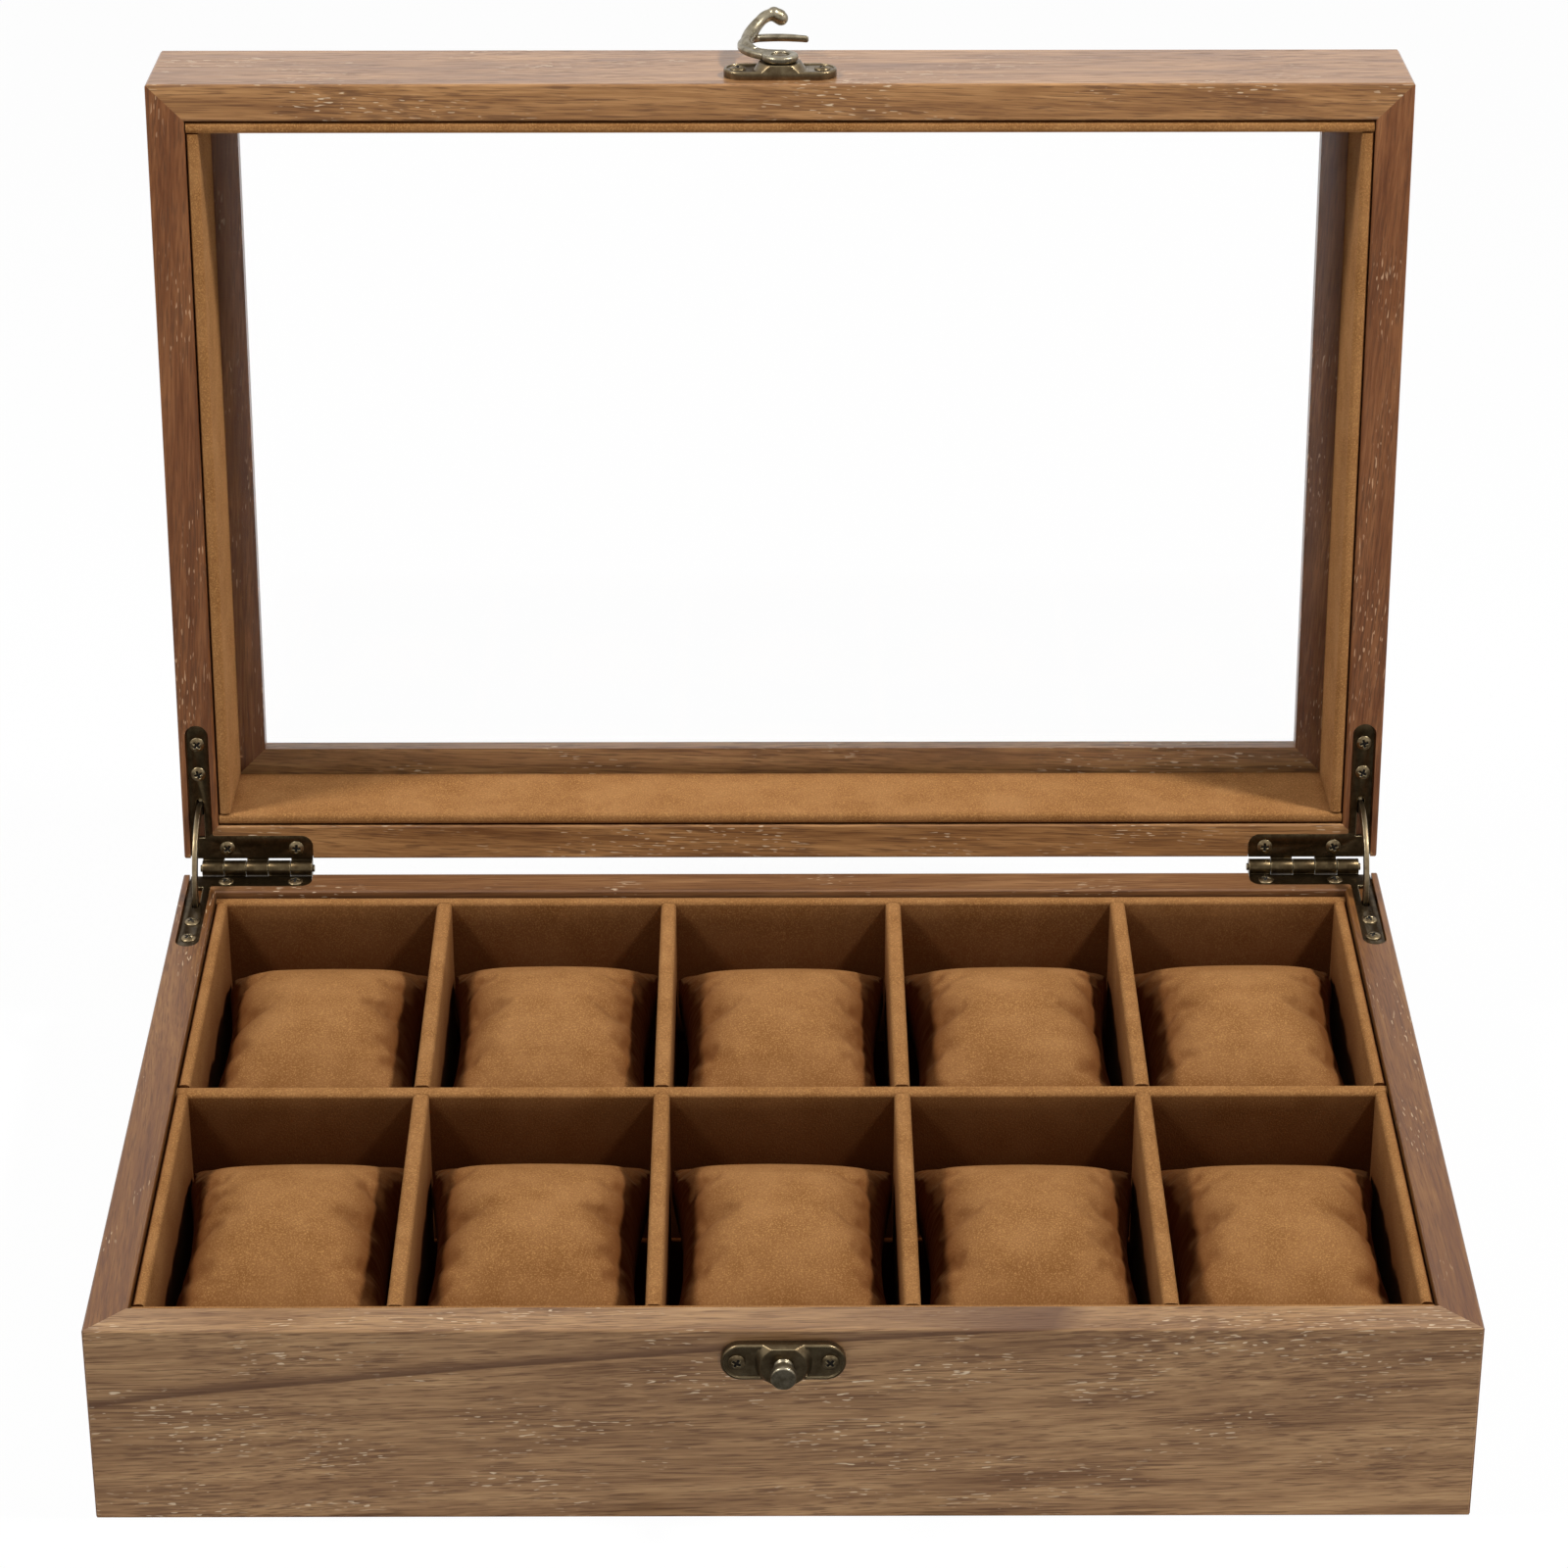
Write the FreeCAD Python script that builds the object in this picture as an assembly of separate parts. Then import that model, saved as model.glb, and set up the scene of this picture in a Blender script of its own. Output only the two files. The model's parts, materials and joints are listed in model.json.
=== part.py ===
import FreeCAD
import Part

import math
import os

# Watch box with a glazed lid, two quadrant hinges with curved stays, a swing hook and ten pillows.
# Millimetres. X runs to the right, Y to the back, Z up, and the origin is the middle of the underside.

# Outside of the box
BOX_WIDTH = 335.0
BOX_DEPTH = 223.0
BASE_HEIGHT = 55.0
LID_HEIGHT = 36.5
WALL = 10.0
RIM_GAP = 0.4
EDGE_ROUND = 0.6
OPEN_ANGLE = 95.0

# Bottom of the base
FELT = 0.8
PANEL = 6.2
FLOOR_LINING = 1.4
REBATE = 5.0
PANEL_GAP = 0.2

# Suede boards and dividers
LINING = 3.2
LINING_GAP = 0.3
LINING_DROP = 1.6
DIVIDER = 4.2
DIVIDER_DROP = 1.9
SEAT_GAP = 0.15
SUEDE_ROUND = 1.3
COLUMNS = 5

# Lid frame and glass
LIP_REACH = 10.5
LIP = 5.2
GLASS = 2.4
GLASS_GAP = 0.3
LID_LINING_RECESS = 0.2

# Quadrant hinges
PIN_SETBACK = 2.85
PIN_RADIUS = 1.0
PIN_FIT = 0.05
PIN_OVERHANG = 0.5
KNUCKLE_RADIUS = 2.3
KNUCKLE_LENGTH = 6.2
KNUCKLE_COUNT = 5
KNUCKLE_GAP = 0.2
LEAF = 1.2
LEAF_GAP = 0.25
SIDE_ARM_WIDTH = 6.0
SIDE_ARM_REACH = 43.0
SIDE_SCREWS = (28.3, 37.2)
BACK_ARM_WIDTH = 6.8
BACK_ARM_SPAN = 36.0
BACK_SCREWS = (4.5, 23.8)
BACK_SCREW_INSET = 2.9
LEAF_CORNER = 3.0
LEAF_INNER_CORNER = 0.8

# Curved stays
STAY = 1.3
STAY_RADIUS = 19.5
STAY_WIDTH = 3.5
STAY_STOP = 1.0
STAY_STOP_ANGLE = 1.2
STAY_OVERLAP_ANGLE = 8.4
STAY_GAP = 0.35
STAY_SLOT = 11.0
STAY_RUNOUT_ANGLE = 2.0

# Screws
SHANK_RADIUS = 1.0
SHANK_LENGTH = 7.0
SHANK_TAPER = 2.0
SHANK_FIT = 0.05
HEAD_RADIUS = 2.1
HEAD_HEIGHT = 0.75

# Clasp plates
PLATE_LENGTH = 30.0
PLATE_WIDTH = 10.0
PLATE = 2.2
PLATE_BEVEL = 0.3
PLATE_RIM = 0.8
PLATE_SINK = 0.35
HUMP_RADIUS = 5.6
HUMP_FOOT_RADIUS = 7.0
HUMP = 1.7
PLATE_SCREW_SPREAD = 22.4
CLASP_UP = 8.8
CATCH_DOWN = 8.0

# Catch peg
PEG_NECK_RADIUS = 2.0
PEG_FOOT_RADIUS = 2.5
PEG_FOOT = 0.6
PEG_NECK = 2.4
PEG_FLARE = 0.5
PEG_HEAD_RADIUS = 3.13
PEG_HEAD = 2.2
PEG_EDGE = 0.45
PEG_TAIL_RADIUS = 1.5
PEG_TAIL = 6.0

# Swing hook
HOOK = 1.9
HOOK_EDGE = 0.4
HOOK_CORNER = 0.45
HOOK_GAP = 0.2
HOOK_RING_RADIUS = 4.8
HOOK_CLEAR = 0.15
ARM_BULGE = 11.2
ARM_WIDTH = 3.4
CLAW_TIP_ANGLE = 22.0
CLAW_ROOT_ANGLE = 17.0
CLAW_SHOULDER_ANGLE = 8.0
CLAW_WIDTH = 2.1
CLAW_TIP = 1.0
RIVET_RADIUS = 1.6
RIVET_FIT = 0.05
RIVET_HEAD_RADIUS = 2.25
RIVET_HEAD_FIT = 0.2
RIVET_HEAD = 0.7
RIVET_SINK = 0.9
RIVET_TAIL = 6.0

# Horn of the hook, in shares of the claw's radius: to the right, away from the ring, out
HORN_RADIUS = 1.45
LOBE_RADIUS = 1.95
HORN_PATH = (
    (-0.383, 0.952, -0.015),
    (-0.363, 1.003, 0.081),
    (-0.297, 1.068, 0.191),
    (-0.196, 1.134, 0.277),
    (-0.081, 1.159, 0.300),
    (0.015, 1.159, 0.239),
)

# Pillows
PILLOW_HEIGHT = 44.0
PILLOW_END_GAP = 3.6
PILLOW_SIDE_GAP = 0.8
PILLOW_FLOOR_GAP = 0.3
PILLOW_DRAW = 4.4
PILLOW_CROWN = 3.4
PILLOW_SIDE_BULGE = 0.4
PILLOW_NOSE = 9.0
PILLOW_STATIONS = (-1.0, -0.82, -0.45, 0.0, 0.45, 0.82, 1.0)
PILLOW_DRAW_POWER = 0.8

# Places worked out from the sizes above
HALF_WIDTH = BOX_WIDTH / 2
HALF_DEPTH = BOX_DEPTH / 2
PANEL_TOP = FELT + PANEL
FLOOR = PANEL_TOP + FLOOR_LINING
RIM = BASE_HEIGHT + RIM_GAP
LID_TOP = RIM + LID_HEIGHT
LIP_UNDER = LID_TOP - LIP
GLASS_UNDER = LIP_UNDER - GLASS
INNER_X = HALF_WIDTH - WALL - LINING_GAP - LINING
INNER_Y = HALF_DEPTH - WALL - LINING_GAP - LINING
SLOT_WIDTH = (2 * INNER_X - (COLUMNS - 1) * DIVIDER) / COLUMNS
SLOT_LENGTH = INNER_Y - DIVIDER / 2
PIN_Y = HALF_DEPTH + PIN_SETBACK
PIN_Z = BASE_HEIGHT + RIM_GAP / 2
HINGE_X = HALF_WIDTH - WALL / 2
LEAF_UNDER = PIN_Z - KNUCKLE_RADIUS
LEAF_BACK = PIN_Y - KNUCKLE_RADIUS - LEAF_GAP
BARREL_START = HALF_WIDTH - BACK_ARM_SPAN
CLASP_Z = RIM + CLASP_UP
CATCH_Z = BASE_HEIGHT - CATCH_DOWN
WING_FACE = PLATE - PLATE_SINK
PLATE_FACE = PLATE + HUMP
HOOK_BACK = PLATE_FACE + HOOK_GAP
CLAW_RADIUS = CLASP_Z - CATCH_Z + PEG_FOOT_RADIUS + HOOK_CLEAR


def vec(x, y, z):
    return FreeCAD.Vector(x, y, z)


X_AXIS = vec(1, 0, 0)
Y_AXIS = vec(0, 1, 0)
Z_AXIS = vec(0, 0, 1)
CENTRE = vec(0, 0, 0)


def block(low, high):
    """Box between two opposite corners."""
    return Part.makeBox(high[0] - low[0], high[1] - low[1], high[2] - low[2], vec(*low))


def closed_wire(points, arcs):
    """Wire through points in turn, where arcs holds the middle of each stretch that is round."""
    edges = []
    for i, start in enumerate(points):
        end = points[(i + 1) % len(points)]
        if start.distanceToPoint(end) < 1e-6:
            continue
        if arcs[i] is None:
            edges.append(Part.LineSegment(start, end).toShape())
        else:
            edges.append(Part.Arc(start, arcs[i], end).toShape())
    return Part.Wire(edges)


def rounded(corners, place):
    """Closed wire with corners (u, v, radius), each rounded to its radius and set by place(u, v)."""
    points = []
    arcs = []
    for i, (u, v, radius) in enumerate(corners):
        here = vec(u, v, 0)
        last = vec(*corners[i - 1][:2], 0) - here
        following = vec(*corners[(i + 1) % len(corners)][:2], 0) - here
        if radius == 0:
            points.append(here)
            arcs.append(None)
            continue
        half = last.getAngle(following) / 2
        last.normalize()
        following.normalize()
        bisector = (last + following).normalize()
        trim = radius / math.tan(half)
        points += [here + last * trim, here + following * trim]
        arcs += [here + bisector * (radius / math.sin(half) - radius), None]
    points = [place(p.x, p.y) for p in points]
    arcs = [a and place(a.x, a.y) for a in arcs]
    return closed_wire(points, arcs)


def prism(wire, run):
    """Solid made by pushing a flat wire along run."""
    return Part.Face(wire).extrude(run)


def turned(points, arcs, at, direction):
    """Solid of revolution from half a profile of (radius, height), standing at a point along direction."""
    wire = closed_wire([vec(r, 0, h) for r, h in points], [a and vec(a[0], 0, a[1]) for a in arcs])
    solid = Part.Face(wire).revolve(CENTRE, Z_AXIS, 360)
    solid.Placement = FreeCAD.Placement(at, FreeCAD.Rotation(Z_AXIS, direction))
    return solid


def dome(radius, height):
    """Point halfway along a dome's arc from (radius, 0) to (0, height)."""
    sphere = (radius ** 2 + height ** 2) / (2 * height)
    half = math.asin(radius / sphere) / 2
    return (sphere * math.sin(half), sphere * math.cos(half) - sphere + height)


def rod(radius, start, end):
    """Round bar between two points."""
    run = end - start
    return Part.makeCylinder(radius, run.Length, start, run)


def opened(shape):
    """A lid piece drawn in its closed place, swung up to the open place."""
    return shape.rotated(vec(0, PIN_Y, PIN_Z), X_AXIS, -OPEN_ANGLE)


def mirrored(shape):
    """The same piece on the other side of the box."""
    return shape.mirror(CENTRE, X_AXIS)


# Wooden boards


def mitred_board(length, profile, reach):
    """Board along X, outer face at y = 0, both ends mitred, from a profile of (depth, height, radius)."""
    half = length / 2
    low = min(p[1] for p in profile)
    high = max(p[1] for p in profile)
    bar = prism(rounded(profile, lambda d, z: vec(-half, d, z)), X_AXIS * length)
    ease = EDGE_ROUND
    plan = [
        (-half + ease, 0, 0),
        (half - ease, 0, 0),
        (half - ease / 2, ease / 2, 0),
        (half - reach, reach, 0),
        (reach - half, reach, 0),
        (-half + ease / 2, ease / 2, 0),
    ]
    return bar.common(prism(rounded(plan, lambda x, y: vec(x, y, low)), Z_AXIS * (high - low)))


def four_boards(profile, reach):
    """Front, back, left and right boards of a mitred frame."""
    wide = mitred_board(BOX_WIDTH, profile, reach)
    deep = mitred_board(BOX_DEPTH, profile, reach)
    return {
        "front": wide.translated(vec(0, -HALF_DEPTH, 0)),
        "back": wide.rotated(CENTRE, Z_AXIS, 180).translated(vec(0, HALF_DEPTH, 0)),
        "left": deep.rotated(CENTRE, Z_AXIS, -90).translated(vec(-HALF_WIDTH, 0, 0)),
        "right": deep.rotated(CENTRE, Z_AXIS, 90).translated(vec(HALF_WIDTH, 0, 0)),
    }


def base_profile():
    """Section of a base wall, with the rebate for the bottom panel."""
    return [
        (0, 0, EDGE_ROUND),
        (WALL - REBATE, 0, 0),
        (WALL - REBATE, PANEL_TOP, 0),
        (WALL, PANEL_TOP, 0),
        (WALL, BASE_HEIGHT, EDGE_ROUND),
        (0, BASE_HEIGHT, EDGE_ROUND),
    ]


def lid_profile():
    """Section of a lid rail, with the lip over the glass."""
    return [
        (0, RIM, EDGE_ROUND),
        (WALL, RIM, EDGE_ROUND),
        (WALL, LIP_UNDER, 0),
        (WALL + LIP_REACH, LIP_UNDER, 0),
        (WALL + LIP_REACH, LID_TOP, EDGE_ROUND),
        (0, LID_TOP, EDGE_ROUND),
    ]


# Suede boards


def suede_board(along, thick, low, high, round_top):
    """Board along X from along[0] to along[1], between two Y faces, with its top or bottom edge rounded."""
    top = SUEDE_ROUND if round_top else 0
    bottom = 0 if round_top else SUEDE_ROUND
    section = [
        (thick[0], low, bottom),
        (thick[1], low, bottom),
        (thick[1], high, top),
        (thick[0], high, top),
    ]
    return prism(rounded(section, lambda y, z: vec(along[0], y, z)), X_AXIS * (along[1] - along[0]))


def across(along, thick, low, high, round_top):
    """The same board along Y, between two X faces."""
    board = suede_board(along, (-thick[1], -thick[0]), low, high, round_top)
    return board.rotated(CENTRE, Z_AXIS, 90)


def floor_pieces():
    """Bottom panel in its rebate, felt below it and lining above it."""
    panel_x = HALF_WIDTH - WALL + REBATE - PANEL_GAP
    panel_y = HALF_DEPTH - WALL + REBATE - PANEL_GAP
    lining_x = HALF_WIDTH - WALL - LINING_GAP
    lining_y = HALF_DEPTH - WALL - LINING_GAP
    return {
        "base_felt": block((-panel_x, -panel_y, 0), (panel_x, panel_y, FELT)),
        "bottom_panel": block((-panel_x, -panel_y, FELT), (panel_x, panel_y, PANEL_TOP)),
        "floor_lining": block((-lining_x, -lining_y, PANEL_TOP), (lining_x, lining_y, FLOOR)),
    }


def base_linings():
    """Suede boards round the inside of the base; the side ones stop at the centre divider."""
    top = BASE_HEIGHT - LINING_DROP
    long_x = HALF_WIDTH - WALL - LINING_GAP
    near = DIVIDER / 2 + SEAT_GAP
    far = INNER_Y - SEAT_GAP
    pieces = {
        "lining_front": suede_board((-long_x, long_x), (-INNER_Y - LINING, -INNER_Y), FLOOR, top, True),
        "lining_back": suede_board((-long_x, long_x), (INNER_Y, INNER_Y + LINING), FLOOR, top, True),
    }
    for row, along in (("front", (-far, -near)), ("back", (near, far))):
        right = across(along, (INNER_X, INNER_X + LINING), FLOOR, top, True)
        pieces["lining_right_" + row] = right
        pieces["lining_left_" + row] = mirrored(right)
    return pieces


def dividers():
    """Centre divider from wall to wall, and the short dividers of both rows."""
    top = BASE_HEIGHT - DIVIDER_DROP
    long_x = HALF_WIDTH - WALL - LINING_GAP
    half = DIVIDER / 2
    pieces = {
        "centre_divider": suede_board((-long_x, long_x), (-half, half), FLOOR, top, True),
    }
    near = half + SEAT_GAP
    far = INNER_Y - SEAT_GAP
    for column in range(1, COLUMNS):
        x = -INNER_X + column * (SLOT_WIDTH + DIVIDER) - half
        for row, along in (("front", (-far, -near)), ("back", (near, far))):
            name = "divider_%s_%d" % (row, column)
            pieces[name] = across(along, (x - half, x + half), FLOOR, top, True)
    return pieces


def lid_linings():
    """Suede boards inside the lid, which hold the glass against the lip."""
    low = RIM + LID_LINING_RECESS
    long_x = HALF_WIDTH - WALL - LINING_GAP
    far = INNER_Y - SEAT_GAP
    right = across((-far, far), (INNER_X, INNER_X + LINING), low, GLASS_UNDER, False)
    return {
        "lid_lining_front": suede_board(
            (-long_x, long_x), (-INNER_Y - LINING, -INNER_Y), low, GLASS_UNDER, False),
        "lid_lining_back": suede_board(
            (-long_x, long_x), (INNER_Y, INNER_Y + LINING), low, GLASS_UNDER, False),
        "lid_lining_right": right,
        "lid_lining_left": mirrored(right),
    }


def glass_pane():
    """Pane between the lip and the lid linings."""
    x = HALF_WIDTH - WALL - GLASS_GAP
    y = HALF_DEPTH - WALL - GLASS_GAP
    return block((-x, -y, GLASS_UNDER), (x, y, LIP_UNDER))


# Screws


def screw(at, direction):
    """Raised-head wood screw whose head sits at a point and faces along direction."""
    points = [
        (0, -SHANK_LENGTH),
        (SHANK_RADIUS, SHANK_TAPER - SHANK_LENGTH),
        (SHANK_RADIUS, 0),
        (HEAD_RADIUS, 0),
        (0, HEAD_HEIGHT),
    ]
    return turned(points, [None, None, None, dome(HEAD_RADIUS, HEAD_HEIGHT), None], at, direction)


def screw_hole(at, direction):
    """Hole for a screw's shank, through the metal and into the wood."""
    return rod(SHANK_RADIUS + SHANK_FIT, at + direction, at - direction * (SHANK_LENGTH + SHANK_FIT))


# Quadrant hinges, drawn for the right side of the base with the lid closed


def leaf_plan(margin, back):
    """Corners of the L-shaped leaf, grown by a margin, as far back as the line given."""
    inner = HINGE_X - SIDE_ARM_WIDTH / 2 - margin
    outer = HINGE_X + SIDE_ARM_WIDTH / 2 + margin
    front = PIN_Y - SIDE_ARM_REACH - margin
    step = HALF_DEPTH - BACK_ARM_WIDTH - margin
    end = SIDE_ARM_WIDTH / 2 + margin
    return [
        (BARREL_START - margin, back, 0),
        (BARREL_START - margin, step, LEAF_CORNER + margin),
        (inner, step, LEAF_INNER_CORNER - margin),
        (inner, front, end),
        (outer, front, end),
        (outer, back, 0),
    ]


def leaf_screw_places():
    """Where the four screws of a leaf sit, on the leaf's upper face."""
    top = LEAF_UNDER + LEAF
    places = [vec(HINGE_X, PIN_Y - reach, top) for reach in SIDE_SCREWS]
    back_y = HALF_DEPTH - BACK_SCREW_INSET
    places += [vec(BARREL_START + run, back_y, top) for run in BACK_SCREWS]
    return places


def leaf(knuckles):
    """Leaf with the knuckles numbered from its inner end, its slot for the stay and its screw holes."""
    plate = prism(rounded(leaf_plan(0, LEAF_BACK), lambda x, y: vec(x, y, LEAF_UNDER)), Z_AXIS * LEAF)
    slot_half = STAY / 2 + STAY_GAP
    slot_front = PIN_Y - STAY_RADIUS - STAY_GAP
    slot_plan = [
        (HINGE_X - slot_half, slot_front - slot_half, slot_half),
        (HINGE_X + slot_half, slot_front - slot_half, slot_half),
        (HINGE_X + slot_half, slot_front + STAY_SLOT, 0),
        (HINGE_X - slot_half, slot_front + STAY_SLOT, 0),
    ]
    slot = prism(rounded(slot_plan, lambda x, y: vec(x, y, LEAF_UNDER)), Z_AXIS * LEAF)
    cuts = [slot] + [screw_hole(place, Z_AXIS) for place in leaf_screw_places()]
    plate = plate.cut(cuts)
    for number in knuckles:
        start = BARREL_START + number * KNUCKLE_LENGTH + KNUCKLE_GAP / 2
        end = start + KNUCKLE_LENGTH - KNUCKLE_GAP
        tab = block((start, LEAF_BACK - LEAF, LEAF_UNDER), (end, PIN_Y, LEAF_UNDER + LEAF))
        barrel = rod(KNUCKLE_RADIUS, vec(start, PIN_Y, PIN_Z), vec(end, PIN_Y, PIN_Z))
        plate = plate.fuse([tab, barrel])
    bore = rod(PIN_RADIUS + PIN_FIT, vec(0, PIN_Y, PIN_Z), vec(HALF_WIDTH, PIN_Y, PIN_Z))
    return plate.cut(bore).removeSplitter()


def hinge_pin():
    """Pin through all the knuckles."""
    end = BARREL_START + KNUCKLE_COUNT * KNUCKLE_LENGTH + PIN_OVERHANG
    return rod(PIN_RADIUS, vec(BARREL_START - PIN_OVERHANG, PIN_Y, PIN_Z), vec(end, PIN_Y, PIN_Z))


def stay_point(radius, angle):
    """Point of the stay's plane at a radius from the pin, with the angle counted up from the base's rim."""
    turn = math.radians(angle)
    return vec(HINGE_X - STAY / 2, PIN_Y - radius * math.cos(turn), PIN_Z + radius * math.sin(turn))


def stay():
    """Curved strip that runs through both leaves, with a stop at each end, in the open place."""
    inner = STAY_RADIUS - STAY_WIDTH
    outer = STAY_RADIUS + STAY_STOP
    low = -STAY_OVERLAP_ANGLE
    high = OPEN_ANGLE + STAY_OVERLAP_ANGLE
    middle = (low + high) / 2
    low_stop = low + STAY_STOP_ANGLE
    high_stop = high - STAY_STOP_ANGLE
    points = [
        stay_point(inner, low),
        stay_point(inner, high),
        stay_point(outer, high),
        stay_point(outer, high_stop),
        stay_point(STAY_RADIUS, high_stop),
        stay_point(STAY_RADIUS, low_stop),
        stay_point(outer, low_stop),
        stay_point(outer, low),
    ]
    arcs = [stay_point(inner, middle), None, None, None, stay_point(STAY_RADIUS, middle), None, None, None]
    return prism(closed_wire(points, arcs), X_AXIS * STAY)


def stay_mortise():
    """Curved slot in the base wall that takes the stay when the lid is closed."""
    inner = STAY_RADIUS - STAY_WIDTH - STAY_GAP
    outer = STAY_RADIUS + STAY_STOP + STAY_GAP
    deep = -OPEN_ANGLE / 2 - STAY_OVERLAP_ANGLE - STAY_RUNOUT_ANGLE
    shallow = STAY_OVERLAP_ANGLE
    points = [
        stay_point(inner, deep),
        stay_point(inner, shallow),
        stay_point(outer, shallow),
        stay_point(outer, deep),
    ]
    middle = (deep + shallow) / 2
    arcs = [stay_point(inner, middle), None, stay_point(outer, middle), None]
    slot = prism(closed_wire(points, arcs), X_AXIS * (STAY + 2 * STAY_GAP))
    return slot.translated(X_AXIS * -STAY_GAP)


def hinge_recess():
    """All that one hinge needs cut from the base's walls."""
    open_back = HALF_DEPTH + PIN_SETBACK
    plan = rounded(leaf_plan(LEAF_GAP, open_back), lambda x, y: vec(x, y, LEAF_UNDER))
    mortise = prism(plan, Z_AXIS * (2 * KNUCKLE_RADIUS))
    return [mortise, stay_mortise()] + [screw_hole(place, Z_AXIS) for place in leaf_screw_places()]


def upside_down(shape):
    """The lid's copy of a hinge piece or cut, reflected in the plane between the rims."""
    return shape.mirror(vec(0, 0, PIN_Z), Z_AXIS)


def both_sides(shapes):
    """Each cut, with its mirror image on the left."""
    return shapes + [mirrored(shape) for shape in shapes]


# Clasp, drawn round the plate's centre on the front face, with the lid closed


def clasp_place(x, out, z, height):
    """Point at a distance out from the front face, measured from a plate's centre."""
    return vec(x, -HALF_DEPTH - out, height + z)


def plate_plan(height, margin, out):
    """Stadium outline of a clasp plate, drawn in by a margin, at a distance out from the wood."""
    half = PLATE_LENGTH / 2 - margin
    side = PLATE_WIDTH / 2 - margin
    plan = [(-half, -side, side), (half, -side, side), (half, side, side), (-half, side, side)]
    return rounded(plan, lambda x, z: clasp_place(x, out, z, height))


def clasp_plate(height, hole):
    """Stadium-shaped stamping with a raised rim, a hump in the middle, two screw holes and a centre hole."""
    outward = -Y_AXIS
    plate = prism(plate_plan(height, 0, 0), outward * PLATE)
    rim = [e for e in plate.Edges if abs(e.BoundBox.YMax + HALF_DEPTH + PLATE) < 1e-6]
    plate = plate.makeChamfer(PLATE_BEVEL, rim)
    plate = plate.cut(prism(plate_plan(height, PLATE_RIM, WING_FACE), outward * PLATE))
    hump = Part.makeCone(HUMP_FOOT_RADIUS, HUMP_RADIUS, PLATE_FACE - WING_FACE,
                         clasp_place(0, WING_FACE, 0, height), outward)
    hump = hump.common(prism(plate_plan(height, 0, 0), outward * PLATE_FACE))
    holes = [rod(hole, clasp_place(0, -1, 0, height), clasp_place(0, PLATE_FACE + 1, 0, height))]
    holes += [screw_hole(place, outward) for place in plate_screw_places(height)]
    return plate.fuse(hump).cut(holes).removeSplitter()


def plate_screw_places(height):
    """Where a plate's two screws sit, on the plate's face."""
    half = PLATE_SCREW_SPREAD / 2
    return [clasp_place(x, WING_FACE, 0, height) for x in (-half, half)]


def front_cuts(height, tail_radius, tail):
    """Holes in the wood behind a clasp plate."""
    back = rod(tail_radius, clasp_place(0, 1, 0, height), clasp_place(0, -tail - SHANK_FIT, 0, height))
    return [back] + [screw_hole(place, -Y_AXIS) for place in plate_screw_places(height)]


def catch_peg():
    """Barrel-headed peg with a flared foot on the plate and a tail in the wood."""
    foot = PLATE_FACE + PEG_FOOT
    neck = PLATE_FACE + PEG_NECK
    shoulder = neck + PEG_FLARE
    end = shoulder + PEG_HEAD
    points = [
        (0, -PEG_TAIL),
        (PEG_TAIL_RADIUS, -PEG_TAIL),
        (PEG_TAIL_RADIUS, PLATE_FACE),
        (PEG_FOOT_RADIUS, PLATE_FACE),
        (PEG_NECK_RADIUS, foot),
        (PEG_NECK_RADIUS, neck),
        (PEG_HEAD_RADIUS, shoulder),
        (PEG_HEAD_RADIUS, end - PEG_EDGE),
        (PEG_HEAD_RADIUS - PEG_EDGE, end),
        (0, end),
    ]
    bow = PEG_EDGE * (1 - math.sqrt(0.5))
    arcs = [None] * 7 + [(PEG_HEAD_RADIUS - bow, end - bow), None, None]
    return turned(points, arcs, clasp_place(0, 0, 0, CATCH_Z), -Y_AXIS)


def clasp_rivet():
    """Rivet that the hook swings on, with its head sunk in the hook's ring."""
    head = HOOK_BACK + HOOK - RIVET_SINK + HOOK_GAP / 2
    points = [
        (0, -RIVET_TAIL),
        (RIVET_RADIUS, -RIVET_TAIL),
        (RIVET_RADIUS, head),
        (RIVET_HEAD_RADIUS, head),
        (0, head + RIVET_HEAD),
    ]
    bow = dome(RIVET_HEAD_RADIUS, RIVET_HEAD)
    return turned(points, [None, None, None, (bow[0], bow[1] + head), None],
                  clasp_place(0, 0, 0, CLASP_Z), -Y_AXIS)


def hook_point(radius, angle, out):
    """Point round the rivet, with the angle counted from straight up to the left."""
    turn = math.radians(angle)
    return clasp_place(-radius * math.sin(turn), out, radius * math.cos(turn), CLASP_Z)


def hook_outline():
    """Flat outline of the arm and claw, from the ring round to the claw's tip and back."""
    middle = CLAW_RADIUS / 2
    root = CLAW_RADIUS + CLAW_WIDTH
    points = [
        clasp_place(-HOOK_RING_RADIUS, HOOK_BACK, 0, CLASP_Z),
        hook_point(root, CLAW_ROOT_ANGLE + CLAW_SHOULDER_ANGLE, HOOK_BACK),
        hook_point(CLAW_RADIUS + CLAW_TIP, -CLAW_TIP_ANGLE, HOOK_BACK),
        hook_point(CLAW_RADIUS, -CLAW_TIP_ANGLE, HOOK_BACK),
        hook_point(CLAW_RADIUS, CLAW_ROOT_ANGLE, HOOK_BACK),
        clasp_place(0, HOOK_BACK, HOOK_RING_RADIUS, CLASP_Z),
    ]
    arcs = [
        clasp_place(-ARM_BULGE, HOOK_BACK, middle, CLASP_Z),
        hook_point(root, 0, HOOK_BACK),
        None,
        hook_point(CLAW_RADIUS, 0, HOOK_BACK),
        clasp_place(ARM_WIDTH - ARM_BULGE, HOOK_BACK, middle, CLASP_Z),
        None,
    ]
    return closed_wire(points, arcs)


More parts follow.
